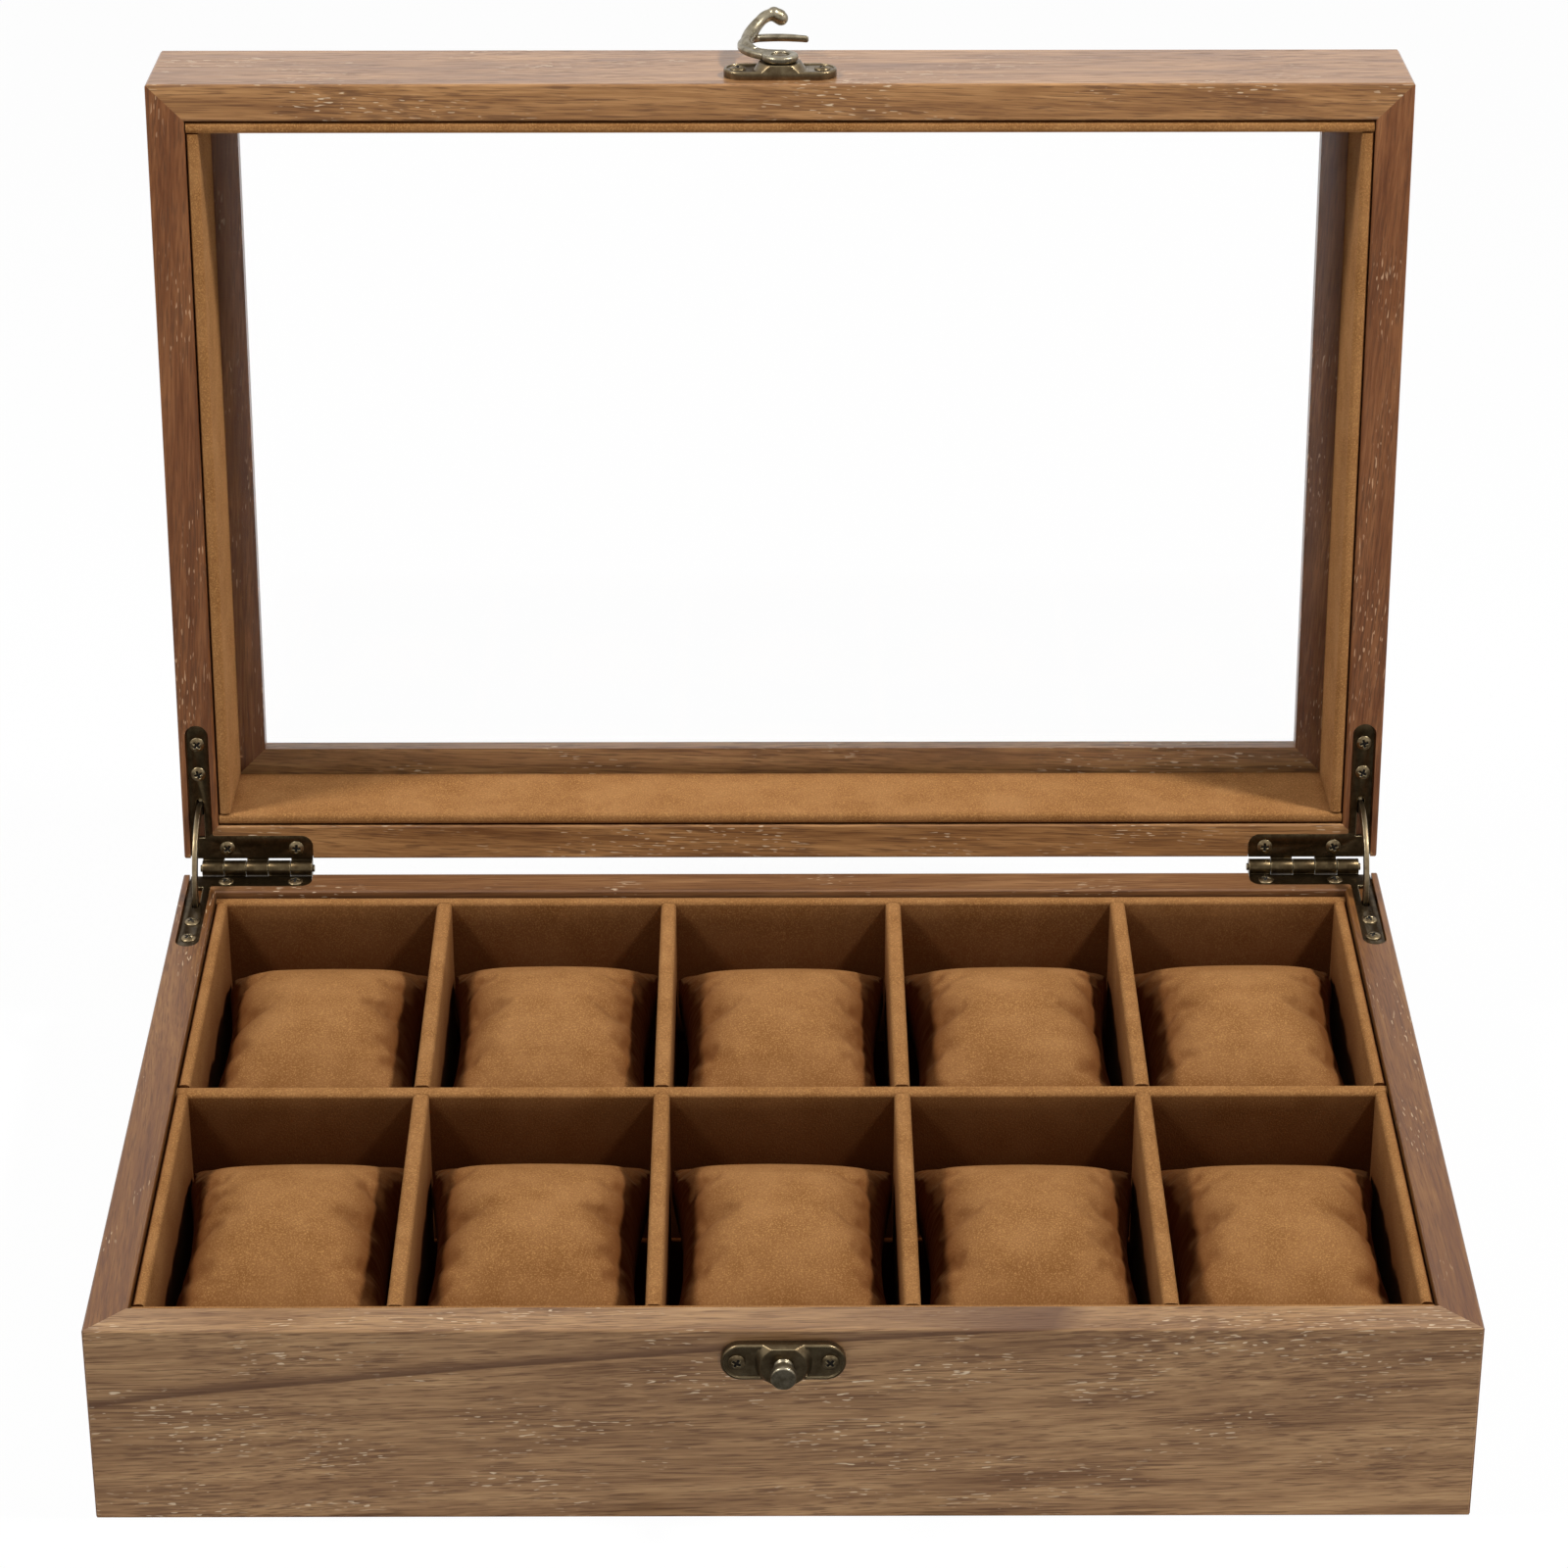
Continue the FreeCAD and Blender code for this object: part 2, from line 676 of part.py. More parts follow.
def hook_horn():
    """Horn that rises from the fork and ends in a lobe, which a thumb pushes."""
    level = HOOK_BACK + HOOK / 2
    places = []
    for right, away, out in HORN_PATH:
        places.append(clasp_place(right * CLAW_RADIUS, level + out * CLAW_RADIUS, away * CLAW_RADIUS, CLASP_Z))
    path = Part.BSplineCurve()
    path.interpolate(Points=places[:-1])
    section = Part.Wire(Part.makeCircle(HORN_RADIUS, places[0], path.tangent(path.FirstParameter)[0]))
    horn = Part.Wire(path.toShape()).makePipeShell([section], True, False)
    tip = places[-1] - places[-2]
    half = LOBE_RADIUS * math.sqrt(0.5)
    points = [(0, -LOBE_RADIUS), (LOBE_RADIUS, 0), (LOBE_RADIUS, tip.Length), (0, tip.Length + LOBE_RADIUS)]
    lobe = turned(points, [(half, -half), None, (half, tip.Length + half), None], places[-2], tip)
    return horn.fuse(lobe)


def swing_hook():
    """Hook at rest, pointing away from the base, as one casting."""
    front = HOOK_BACK + HOOK
    ring = rod(HOOK_RING_RADIUS, clasp_place(0, HOOK_BACK, 0, CLASP_Z), clasp_place(0, front, 0, CLASP_Z))
    flat = prism(hook_outline(), Y_AXIS * -HOOK).fuse(ring).removeSplitter()
    flat = flat.makeFillet(HOOK_CORNER, [e for e in flat.Edges if e.BoundBox.YLength > HOOK / 2])
    flat = flat.makeChamfer(HOOK_EDGE, [e for e in flat.Edges if e.BoundBox.YLength < 1e-6])
    bore = rod(RIVET_RADIUS + RIVET_FIT, clasp_place(0, 0, 0, CLASP_Z), clasp_place(0, front + 1, 0, CLASP_Z))
    sink = rod(RIVET_HEAD_RADIUS + RIVET_HEAD_FIT, clasp_place(0, front - RIVET_SINK, 0, CLASP_Z),
               clasp_place(0, front + 1, 0, CLASP_Z))
    return flat.fuse(hook_horn()).cut([bore, sink]).removeSplitter()


# Pillows


def pillow_section(place_y, half_wide, half_high, crown, middle_x, middle_z):
    """Section across a pillow: a crowned top and bottom joined by slightly bulging sides."""
    side = half_high - crown
    left = middle_x - half_wide
    right = middle_x + half_wide
    points = [
        vec(left, place_y, middle_z + side),
        vec(right, place_y, middle_z + side),
        vec(right, place_y, middle_z - side),
        vec(left, place_y, middle_z - side),
    ]
    arcs = [
        vec(middle_x, place_y, middle_z + half_high),
        vec(right + PILLOW_SIDE_BULGE, place_y, middle_z),
        vec(middle_x, place_y, middle_z - half_high),
        vec(left - PILLOW_SIDE_BULGE, place_y, middle_z),
    ]
    return closed_wire(points, arcs)


def pillow(middle_x, middle_y):
    """Oval pillow whose sides draw in between its corners, lying in its compartment."""
    half_long = SLOT_LENGTH / 2 - PILLOW_END_GAP
    half_wide = SLOT_WIDTH / 2 - PILLOW_SIDE_GAP - PILLOW_SIDE_BULGE
    half_high = PILLOW_HEIGHT / 2
    middle_z = FLOOR + PILLOW_FLOOR_GAP + half_high
    sections = []
    blunt = PILLOW_NOSE / PILLOW_HEIGHT
    for share in PILLOW_STATIONS:
        high = half_high * max(math.sqrt(1 - share ** 2), blunt)
        drawn = PILLOW_DRAW * (1 - abs(share)) ** PILLOW_DRAW_POWER
        crown = PILLOW_CROWN * high / half_high
        sections.append(pillow_section(
            middle_y + share * half_long, half_wide - drawn, high, crown, middle_x, middle_z))
    return Part.makeLoft(sections, True)


def pillows():
    """One pillow in each compartment of both rows."""
    pieces = {}
    for row, sign in (("front", -1), ("back", 1)):
        middle_y = sign * (DIVIDER / 2 + SLOT_LENGTH / 2)
        for column in range(COLUMNS):
            middle_x = -INNER_X + SLOT_WIDTH / 2 + column * (SLOT_WIDTH + DIVIDER)
            pieces["pillow_%s_%d" % (row, column + 1)] = pillow(middle_x, middle_y)
    return pieces


# Assembly


def base_pieces():
    """Every piece of the base."""
    recess = both_sides(hinge_recess())
    pieces = {}
    for side, board in four_boards(base_profile(), WALL).items():
        cuts = front_cuts(CATCH_Z, PEG_TAIL_RADIUS, PEG_TAIL) if side == "front" else recess
        pieces[side + "_wall"] = board.cut(cuts)
    pieces.update(floor_pieces())
    pieces.update(base_linings())
    pieces.update(dividers())
    pieces["base_leaf_right"] = leaf((0, 2, 4))
    pieces["base_leaf_left"] = mirrored(leaf((1, 3)))
    pieces["hinge_pin_right"] = hinge_pin()
    pieces["hinge_pin_left"] = mirrored(hinge_pin())
    leaf_screws = both_sides([screw(place, Z_AXIS) for place in leaf_screw_places()])
    pieces["base_leaf_screws"] = Part.makeCompound(leaf_screws)
    pieces["catch_plate"] = clasp_plate(CATCH_Z, PEG_TAIL_RADIUS)
    pieces["catch_peg"] = catch_peg()
    plate_screws = [screw(place, -Y_AXIS) for place in plate_screw_places(CATCH_Z)]
    pieces["catch_plate_screws"] = Part.makeCompound(plate_screws)
    return pieces


def lid_pieces():
    """Every piece that swings with the lid, in its closed place."""
    recess = [upside_down(cut) for cut in both_sides(hinge_recess())]
    pieces = {}
    for side, board in four_boards(lid_profile(), WALL + LIP_REACH).items():
        cuts = front_cuts(CLASP_Z, RIVET_RADIUS, RIVET_TAIL) if side == "front" else recess
        pieces["lid_%s_rail" % side] = board.cut(cuts)
    pieces["glass_pane"] = glass_pane()
    pieces.update(lid_linings())
    pieces["lid_leaf_right"] = upside_down(leaf((1, 3)))
    pieces["lid_leaf_left"] = upside_down(mirrored(leaf((0, 2, 4))))
    leaf_screws = both_sides([screw(place, Z_AXIS) for place in leaf_screw_places()])
    pieces["lid_leaf_screws"] = upside_down(Part.makeCompound(leaf_screws))
    pieces["clasp_plate"] = clasp_plate(CLASP_Z, RIVET_RADIUS)
    pieces["clasp_rivet"] = clasp_rivet()
    plate_screws = [screw(place, -Y_AXIS) for place in plate_screw_places(CLASP_Z)]
    pieces["clasp_plate_screws"] = Part.makeCompound(plate_screws)
    pieces["swing_hook"] = swing_hook()
    return pieces


def main():
    """Build every piece with the lid open and write one file for each."""
    pieces = base_pieces()
    for name, shape in lid_pieces().items():
        pieces[name] = opened(shape)
    pieces["stay_right"] = stay()
    pieces["stay_left"] = mirrored(stay())
    pieces.update(pillows())
    os.makedirs("parts", exist_ok=True)
    for name, shape in pieces.items():
        shape.exportStep("parts/%s.step" % name)
        solids = len(shape.Solids)
        print("%-22s solids %2d valid %s volume %.1f" % (name, solids, shape.isValid(), shape.Volume))


if __name__ == "__main__":
    main()
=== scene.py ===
"""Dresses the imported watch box: walnut veneer, suede, antique bronze, glass and stuffed watch pillows."""

import json
import logging
import math
import random
from dataclasses import dataclass
from enum import Enum
from typing import Any, Dict, Iterator, List, Tuple, Union

import bpy
import numpy as np
from mathutils import Matrix, Vector


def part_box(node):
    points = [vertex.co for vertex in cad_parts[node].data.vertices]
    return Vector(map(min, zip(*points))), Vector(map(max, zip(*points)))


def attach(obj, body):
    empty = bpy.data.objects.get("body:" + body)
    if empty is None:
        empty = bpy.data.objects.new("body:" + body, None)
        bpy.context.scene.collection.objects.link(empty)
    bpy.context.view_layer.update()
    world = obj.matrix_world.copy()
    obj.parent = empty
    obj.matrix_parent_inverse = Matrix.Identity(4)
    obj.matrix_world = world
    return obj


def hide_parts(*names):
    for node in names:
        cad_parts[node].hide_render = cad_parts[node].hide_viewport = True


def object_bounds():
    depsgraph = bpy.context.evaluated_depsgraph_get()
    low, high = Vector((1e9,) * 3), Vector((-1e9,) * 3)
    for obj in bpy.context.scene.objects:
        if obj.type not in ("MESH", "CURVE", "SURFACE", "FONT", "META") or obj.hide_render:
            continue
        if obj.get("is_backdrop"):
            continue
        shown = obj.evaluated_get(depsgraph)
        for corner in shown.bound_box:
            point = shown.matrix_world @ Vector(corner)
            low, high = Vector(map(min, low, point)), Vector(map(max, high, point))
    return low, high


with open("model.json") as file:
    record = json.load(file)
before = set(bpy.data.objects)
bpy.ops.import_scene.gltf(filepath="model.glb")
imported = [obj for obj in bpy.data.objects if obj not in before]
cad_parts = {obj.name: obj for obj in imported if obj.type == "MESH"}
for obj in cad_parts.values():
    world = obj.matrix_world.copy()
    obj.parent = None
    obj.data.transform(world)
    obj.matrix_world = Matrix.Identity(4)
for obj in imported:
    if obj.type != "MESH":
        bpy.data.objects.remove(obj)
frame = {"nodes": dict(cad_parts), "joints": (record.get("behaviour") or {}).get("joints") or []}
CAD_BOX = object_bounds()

log = logging.getLogger("watch_box")

Material = bpy.types.Material
Piece = bpy.types.Object
Socket = bpy.types.NodeSocket
Tree = bpy.types.NodeTree
Pair = Tuple[float, float]
Triple = Tuple[float, float, float]

MM = 0.001
OPEN_ANGLE = math.radians(95)
LID_TURN = Matrix.Rotation(-OPEN_ANGLE, 3, "X")
UP = Vector((0, 0, 1))
FRONT = Vector((0, -1, 0))
MERGE_DISTANCE = 0.002 * MM
FLAT_ANGLE = math.radians(0.5)


# Shared tools


def linear(code: str) -> Tuple[float, float, float, float]:
    """Turns an sRGB hex colour into linear values.

    Args:
        code: colour such as "#9C6B3B".

    Returns:
        Red, green, blue and a full alpha.
    """
    shares = [int(code[i:i + 2], 16) / 255 for i in (1, 3, 5)]
    values = [s / 12.92 if s <= 0.04045 else ((s + 0.055) / 1.055) ** 2.4 for s in shares]
    return (values[0], values[1], values[2], 1.0)


def add_node(tree: Tree, kind: str, inputs: Union[Dict[Any, Any], Tuple[Any, ...]] = (),
             **settings: Any) -> bpy.types.Node:
    """Adds a shader node with its settings and links.

    Args:
        tree: node tree that gets the node.
        kind: type of node, without the ShaderNode in front.
        inputs: sockets to link or values to set, by the input's name or number, or in the inputs' order.
        settings: attributes of the node.

    Returns:
        The new node.
    """
    made = tree.nodes.new("ShaderNode" + kind)
    for name, value in settings.items():
        setattr(made, name, value)
    for key, value in inputs.items() if isinstance(inputs, dict) else enumerate(inputs):
        if isinstance(value, Socket):
            tree.links.new(value, made.inputs[key])
        else:
            made.inputs[key].default_value = value
    return made


def new_material(name: str) -> Tuple[Material, Tree]:
    """Starts a node material.

    Args:
        name: what the material is.

    Returns:
        The material and its empty node tree.
    """
    material = bpy.data.materials.new(name)
    material.use_nodes = True
    material.node_tree.nodes.clear()
    return material, material.node_tree


def use(piece: Piece) -> None:
    """Deselects everything, then selects one piece and makes it the active one.

    Args:
        piece: object that the next operators act on.
    """
    bpy.ops.object.select_all(action="DESELECT")
    piece.select_set(True)
    bpy.context.view_layer.objects.active = piece


def apply_modifier(piece: Piece, kind: str, **settings: Any) -> None:
    """Adds a modifier to a piece, sets it and applies it.

    Args:
        piece: object to change.
        kind: type of modifier.
        settings: attributes of the modifier.
    """
    use(piece)
    modifier = piece.modifiers.new(kind.title(), kind)
    for name, value in settings.items():
        setattr(modifier, name, value)
    bpy.ops.object.modifier_apply(modifier=modifier.name)


def dress(piece: Piece, *materials: Material) -> None:
    """Gives a piece its materials in order and nothing else.

    Args:
        piece: object to dress.
        materials: its materials, the first of which is its main one.
    """
    piece.data.materials.clear()
    for material in materials:
        piece.data.materials.append(material)


def linked(name: str, mesh: bpy.types.Mesh) -> Piece:
    """Makes a piece from a mesh and links it into the scene.

    Args:
        name: name of the piece.
        mesh: its mesh, which isn't shared.

    Returns:
        The piece, at the origin.
    """
    piece = bpy.data.objects.new(name, mesh)
    bpy.context.scene.collection.objects.link(piece)
    return piece


def join(pieces: List[Piece], name: str) -> Piece:
    """Joins pieces into one object.

    Args:
        pieces: objects to join, the first of which is kept.
        name: name of the joined piece.

    Returns:
        The joined piece.
    """
    use(pieces[0])
    for piece in pieces:
        piece.select_set(True)
    bpy.ops.object.join()
    pieces[0].name = name
    return pieces[0]


def merged_copy(node: str, name: str) -> Piece:
    """Copies a CAD node's mesh and merges its loose triangles.

    Args:
        node: CAD node to copy.
        name: name of the copy.

    Returns:
        The copy, at the origin, with flat faces dissolved to single ones.
    """
    piece = linked(name, frame["nodes"][node].data.copy())
    use(piece)
    bpy.ops.mesh.customdata_custom_splitnormals_clear()
    bpy.ops.object.mode_set(mode="EDIT")
    bpy.ops.mesh.select_all(action="SELECT")
    bpy.ops.mesh.remove_doubles(threshold=MERGE_DISTANCE)
    bpy.ops.mesh.dissolve_limited(angle_limit=FLAT_ANGLE)
    bpy.ops.object.mode_set(mode="OBJECT")
    return piece


def soften_edges(piece: Piece, width: float, angle: float) -> None:
    """Bevels a piece's sharp edges and shades the rest of it smooth.

    Args:
        piece: object to soften.
        width: width of the bevel.
        angle: turn between two faces from which their edge is sharp.
    """
    apply_modifier(piece, "BEVEL", width=width, segments=2, limit_method="ANGLE", angle_limit=angle)
    use(piece)
    bpy.ops.object.shade_smooth_by_angle(angle=angle)


def place(piece: Piece, body: str, slot: str, *nodes: str) -> None:
    """Sets a finished piece on its body, in the place of its CAD nodes.

    Args:
        piece: finished piece.
        body: CAD body that it moves with.
        slot: material slot of the record; not used.
        nodes: CAD nodes that it stands for.
    """
    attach(piece, body)
    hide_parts(*nodes)
    log.info("%s rides on %s with %d faces", piece.name, body, len(piece.data.polygons))


# Finishes


class Grain(Enum):
    """Way that a board's grain runs, as the turn that lays it along X."""

    BASE_LENGTHWAYS = (0.0, 0.0, 0.0)
    BASE_CROSSWAYS = (0.0, 0.0, -math.pi / 2)
    LID_LENGTHWAYS = (OPEN_ANGLE, 0.0, 0.0)
    LID_CROSSWAYS = (OPEN_ANGLE, 0.0, -math.pi / 2)


@dataclass(frozen=True)
class Finish:
    """Surface of a piece, which each kind of finish draws with its own nodes."""

    def title(self) -> str:
        """Name of the material, which most finishes hold as a field."""
        return str(getattr(self, "name"))

    def surface(self, tree: Tree, where: Socket) -> Socket:
        """Draws the finish.

        Args:
            tree: node tree to add to.
            where: place on the piece, in metres.

        Returns:
            The shader's socket.
        """
        raise NotImplementedError

    def material(self) -> Material:
        """Builds the finish.

        Returns:
            The finish as a material.
        """
        material, tree = new_material(self.title())
        where = add_node(tree, "TexCoord").outputs["Object"]
        add_node(tree, "OutputMaterial", {"Surface": self.surface(tree, where)})
        return material


@dataclass(frozen=True)
class WalnutVeneer(Finish):
    """Sliced walnut veneer under satin lacquer.

    It shows soft light and dark bands along the grain, short dark pores, and here and there a painted
    glint, as if a pore caught the light. Boards whose grain runs front to back are given darker colours as
    painted shade, for the side lamps' light that their grain turns away.
    """

    grain: Grain
    pale: str = "#AD8960"
    middle: str = "#906D4A"
    deep: str = "#6D4D31"
    pore: str = "#553723"
    fleck: str = "#E2CDAE"
    band_mm: Pair = (75.0, 4.5)
    fibre_mm: Pair = (30.0, 0.6)
    pore_mm: Pair = (13.0, 0.42)
    patch_mm: Pair = (38.0, 12.0)
    fleck_mm: Pair = (3.0, 0.45)
    drift_mm: Pair = (120.0, 45.0)
    wander_mm: float = 5.0
    relief_mm: float = 0.12
    slope: float = 0.05
    fibre_share: float = 0.45
    fibre_relief: float = 0.4
    tones: Triple = (0.34, 0.5, 0.66)
    pore_patch: Pair = (0.35, 0.65)
    pore_level: Pair = (0.40, 0.49)
    pore_edge: Pair = (-0.03, 0.08)
    most_pore: float = 0.62
    fleck_patch: Pair = (0.52, 0.62)
    fleck_edge: Pair = (0.71, 0.76)
    most_fleck: float = 0.6
    roughness: Pair = (0.40, 0.62)
    figured: bool = False
    line_height_mm: float = 47.4
    line_climb: float = 0.0766
    line_bow: float = -0.146
    line_waver_mm: float = 3.0
    line_edge_mm: Pair = (1.0, 1.4)
    smoke_mm: Pair = (1.2, 5.0)
    most_smoke: float = 0.85

    def title(self) -> str:
        """Name of the veneer, with the way that its grain runs."""
        return "walnut veneer, %s" % self.grain.name.lower().replace("_", " ")

    def stretched(self, tree: Tree, vector: Socket, size: Pair) -> Socket:
        """Vector whose unit is a size along the grain and across it.

        Args:
            tree: node tree to add to.
            vector: place along and across the grain, in metres.
            size: millimetres along and across.

        Returns:
            The stretched vector's socket.
        """
        along, across = (1 / (mm * MM) for mm in size)
        made = add_node(tree, "VectorMath", (vector, (along, across, across)), operation="MULTIPLY")
        return made.outputs[0]

    def figure_line(self, tree: Tree, along: Socket, height: Socket, wobble: Socket) -> Socket:
        """Dark curved line that crosses the front board, with a smoky upper side.

        Args:
            tree: node tree to add to.
            along: distance along the board, in metres.
            height: height on the board, in metres.
            wobble: slow noise from 0 to 1 that makes the line uneven.

        Returns:
            Socket with the share of dark colour.
        """
        bow = add_node(tree, "Math", (along, self.line_bow, self.line_climb), operation="MULTIPLY_ADD")
        rise = add_node(tree, "Math", (along, bow.outputs[0], self.line_height_mm * MM),
                        operation="MULTIPLY_ADD")
        line = add_node(tree, "Math", (wobble, self.line_waver_mm * MM, rise.outputs[0]),
                        operation="MULTIPLY_ADD")
        above = add_node(tree, "Math", (height, line.outputs[0]), operation="SUBTRACT").outputs[0]
        fade = [mm * MM for mm in self.smoke_mm]
        smoke = add_node(tree, "MapRange", (above, *fade, self.most_smoke, 0.0),
                         interpolation_type="SMOOTHSTEP")
        edge = add_node(tree, "MapRange", (above, *(mm * MM for mm in self.line_edge_mm)))
        return add_node(tree, "Math", (smoke.outputs[0], edge.outputs[0]), operation="MULTIPLY").outputs[0]

    def surface(self, tree: Tree, where: Socket) -> Socket:
        """Draws bands, fibres, pores and painted glints that follow the board's grain.

        Args:
            tree: node tree to add to.
            where: place on the board, in metres.

        Returns:
            The shader's socket.
        """
        laid = add_node(tree, "Mapping", {"Vector": where, "Rotation": self.grain.value}).outputs[0]
        parts = add_node(tree, "SeparateXYZ", (laid,)).outputs
        wide = self.stretched(tree, laid, self.drift_mm)
        slow = add_node(tree, "TexNoise", {"Vector": wide, "Scale": 1.0, "Detail": 1.0}).outputs[0]
        drift = add_node(tree, "Math", (slow, self.wander_mm * MM), operation="MULTIPLY").outputs[0]
        lean = add_node(tree, "Math", (parts[0], -self.slope, drift), operation="MULTIPLY_ADD").outputs[0]
        side = add_node(tree, "Math", (parts[1], lean), operation="ADD").outputs[0]
        rise = add_node(tree, "Math", (parts[2], lean), operation="ADD").outputs[0]
        flow = add_node(tree, "CombineXYZ", (parts[0], side, rise)).outputs[0]
        noise = {}
        for layer, size, detail, roughness in (
            ("band", self.band_mm, 4.0, 0.55),
            ("patch", self.patch_mm, 2.0, 0.5),
            ("fibre", self.fibre_mm, 3.0, 0.6),
            ("pore", self.pore_mm, 2.0, 0.5),
            ("fleck", self.fleck_mm, 0.0, 0.5),
        ):
            inputs = {"Vector": self.stretched(tree, flow, size), "Scale": 1.0, "Detail": detail,
                      "Roughness": roughness}
            noise[layer] = add_node(tree, "TexNoise", inputs).outputs[0]
        tone = add_node(tree, "Mix", {0: self.fibre_share, 2: noise["band"], 3: noise["fibre"]},
                        data_type="FLOAT")
        ramp = add_node(tree, "ValToRGB", (tone.outputs[0],))
        ramp.color_ramp.elements.new(self.tones[1])
        codes = (self.deep, self.middle, self.pale)
        for stop, at, code in zip(ramp.color_ramp.elements, self.tones, codes):
            stop.position = at
            stop.color = linear(code)
        level = add_node(tree, "MapRange", (noise["patch"], *self.pore_patch, *self.pore_level)).outputs[0]
        hollow = add_node(tree, "Math", (level, noise["pore"]), operation="SUBTRACT").outputs[0]
        pores = add_node(tree, "MapRange", (hollow, *self.pore_edge, 0.0, self.most_pore)).outputs[0]
        pored = add_node(tree, "Mix", {0: pores, 6: ramp.outputs[0], 7: linear(self.pore)},
                         data_type="RGBA")
        # Painted glint: pale specks, in patches, where a pore would catch the light.
        shine = add_node(tree, "MapRange", (noise["fleck"], *self.fleck_edge)).outputs[0]
        here = add_node(tree, "MapRange", (noise["patch"], *self.fleck_patch, 0.0, self.most_fleck))
        painted_glints = add_node(tree, "Math", (shine, here.outputs[0]), operation="MULTIPLY").outputs[0]
        colour = add_node(tree, "Mix", {0: painted_glints, 6: pored.outputs[2], 7: linear(self.fleck)},
                          data_type="RGBA").outputs[2]
        if self.figured:
            line = self.figure_line(tree, parts[0], parts[2], slow)
            colour = add_node(tree, "Mix", {0: line, 6: colour, 7: linear(self.pore)},
                              data_type="RGBA").outputs[2]
        rough = add_node(tree, "MapRange", (pores, 0.0, self.most_pore, *self.roughness)).outputs[0]
        relief = add_node(tree, "Math", (noise["fibre"], self.fibre_relief, hollow),
                          operation="MULTIPLY_ADD")
        bump = add_node(tree, "Bump", {"Height": relief.outputs[0], "Strength": 0.25,
                                       "Distance": self.relief_mm * MM}, invert=True)
        return add_node(tree, "BsdfPrincipled", {
            "Base Color": colour, "Roughness": rough, "Normal": bump.outputs[0], "Specular IOR Level": 0.15,
            "Coat Weight": 0.6, "Coat Roughness": 0.25, "Coat IOR": 1.5}).outputs[0]


@dataclass(frozen=True)
class Suede(Finish):
    """Tan suede cloth on board: a brushed nap with pale speckle and cloudy patches, and painted shade in
    its nooks.
    """

    name: str = "tan suede cloth"
    worn: str = "#B58753"
    nap: str = "#8F653D"
    deep: str = "#7C532D"
    # Colour of the painted shade in the nooks.
    shade: str = "#582A0C"
    sheen: str = "#D9A870"
    painted_shade_reach_mm: float = 30.0
    speckle_mm: float = 0.42
    cloud_mm: float = 13.0
    nap_mm: float = 0.4
    relief_mm: float = 0.12
    cloud_edge: Pair = (0.32, 0.68)
    speckle_edge: Pair = (0.48, 0.78)
    painted_shade_edge: Pair = (0.1, 0.75)

    def colour(self, tree: Tree, where: Socket) -> Socket:
        """Nap colour over the cloth, with painted shade in its nooks.

        Args:
            tree: node tree to add to.
            where: place on the piece, in metres.

        Returns:
            Colour socket.
        """
        cloud = add_node(tree, "TexNoise", {"Vector": where, "Scale": 1 / (self.cloud_mm * MM),
                                            "Detail": 3.0, "Roughness": 0.6})
        cloudy = add_node(tree, "MapRange", (cloud.outputs[0], *self.cloud_edge)).outputs[0]
        base = add_node(tree, "Mix", {0: cloudy, 6: linear(self.deep), 7: linear(self.nap)},
                        data_type="RGBA")
        speck = add_node(tree, "TexNoise", {"Vector": where, "Scale": 1 / (self.speckle_mm * MM),
                                            "Detail": 2.0, "Roughness": 0.7})
        bright = add_node(tree, "MapRange", (speck.outputs[0], *self.speckle_edge)).outputs[0]
        lit = add_node(tree, "Mix", {0: bright, 6: base.outputs[2], 7: linear(self.worn)}, data_type="RGBA")
        # Painted shade: ambient occlusion turns the cloth towards the shade colour where other surfaces are
        # close.
        occlusion = add_node(tree, "AmbientOcclusion", {"Distance": self.painted_shade_reach_mm * MM}, samples=6)
        open_share = add_node(tree, "MapRange", (occlusion.outputs["AO"], *self.painted_shade_edge)).outputs[0]
        return add_node(tree, "Mix", {0: open_share, 6: linear(self.shade), 7: lit.outputs[2]},
                        data_type="RGBA").outputs[2]

    def bump(self, tree: Tree, where: Socket) -> Socket:
        """Fine unevenness of the nap, drawn at about twice its real size so that it shows.

        Args:
            tree: node tree to add to.
            where: place on the piece, in metres.

        Returns:
            Normal socket.
        """
        nap = add_node(tree, "TexNoise", {"Vector": where, "Scale": 1 / (self.nap_mm * MM), "Detail": 2.0})
        return add_node(tree, "Bump", {"Height": nap.outputs[0], "Strength": 0.5,
                                       "Distance": self.relief_mm * MM}).outputs[0]

    def surface(self, tree: Tree, where: Socket) -> Socket:
        """Draws the suede.

        Args:
            tree: node tree to add to.
            where: place on the piece, in metres.

        Returns:
            The shader's socket.
        """
        return add_node(tree, "BsdfPrincipled", {
            "Base Color": self.colour(tree, where), "Roughness": 0.95, "Specular IOR Level": 0.05,
            "Sheen Weight": 0.06, "Sheen Roughness": 0.45, "Sheen Tint": linear(self.sheen),
            "Normal": self.bump(tree, where)}).outputs[0]


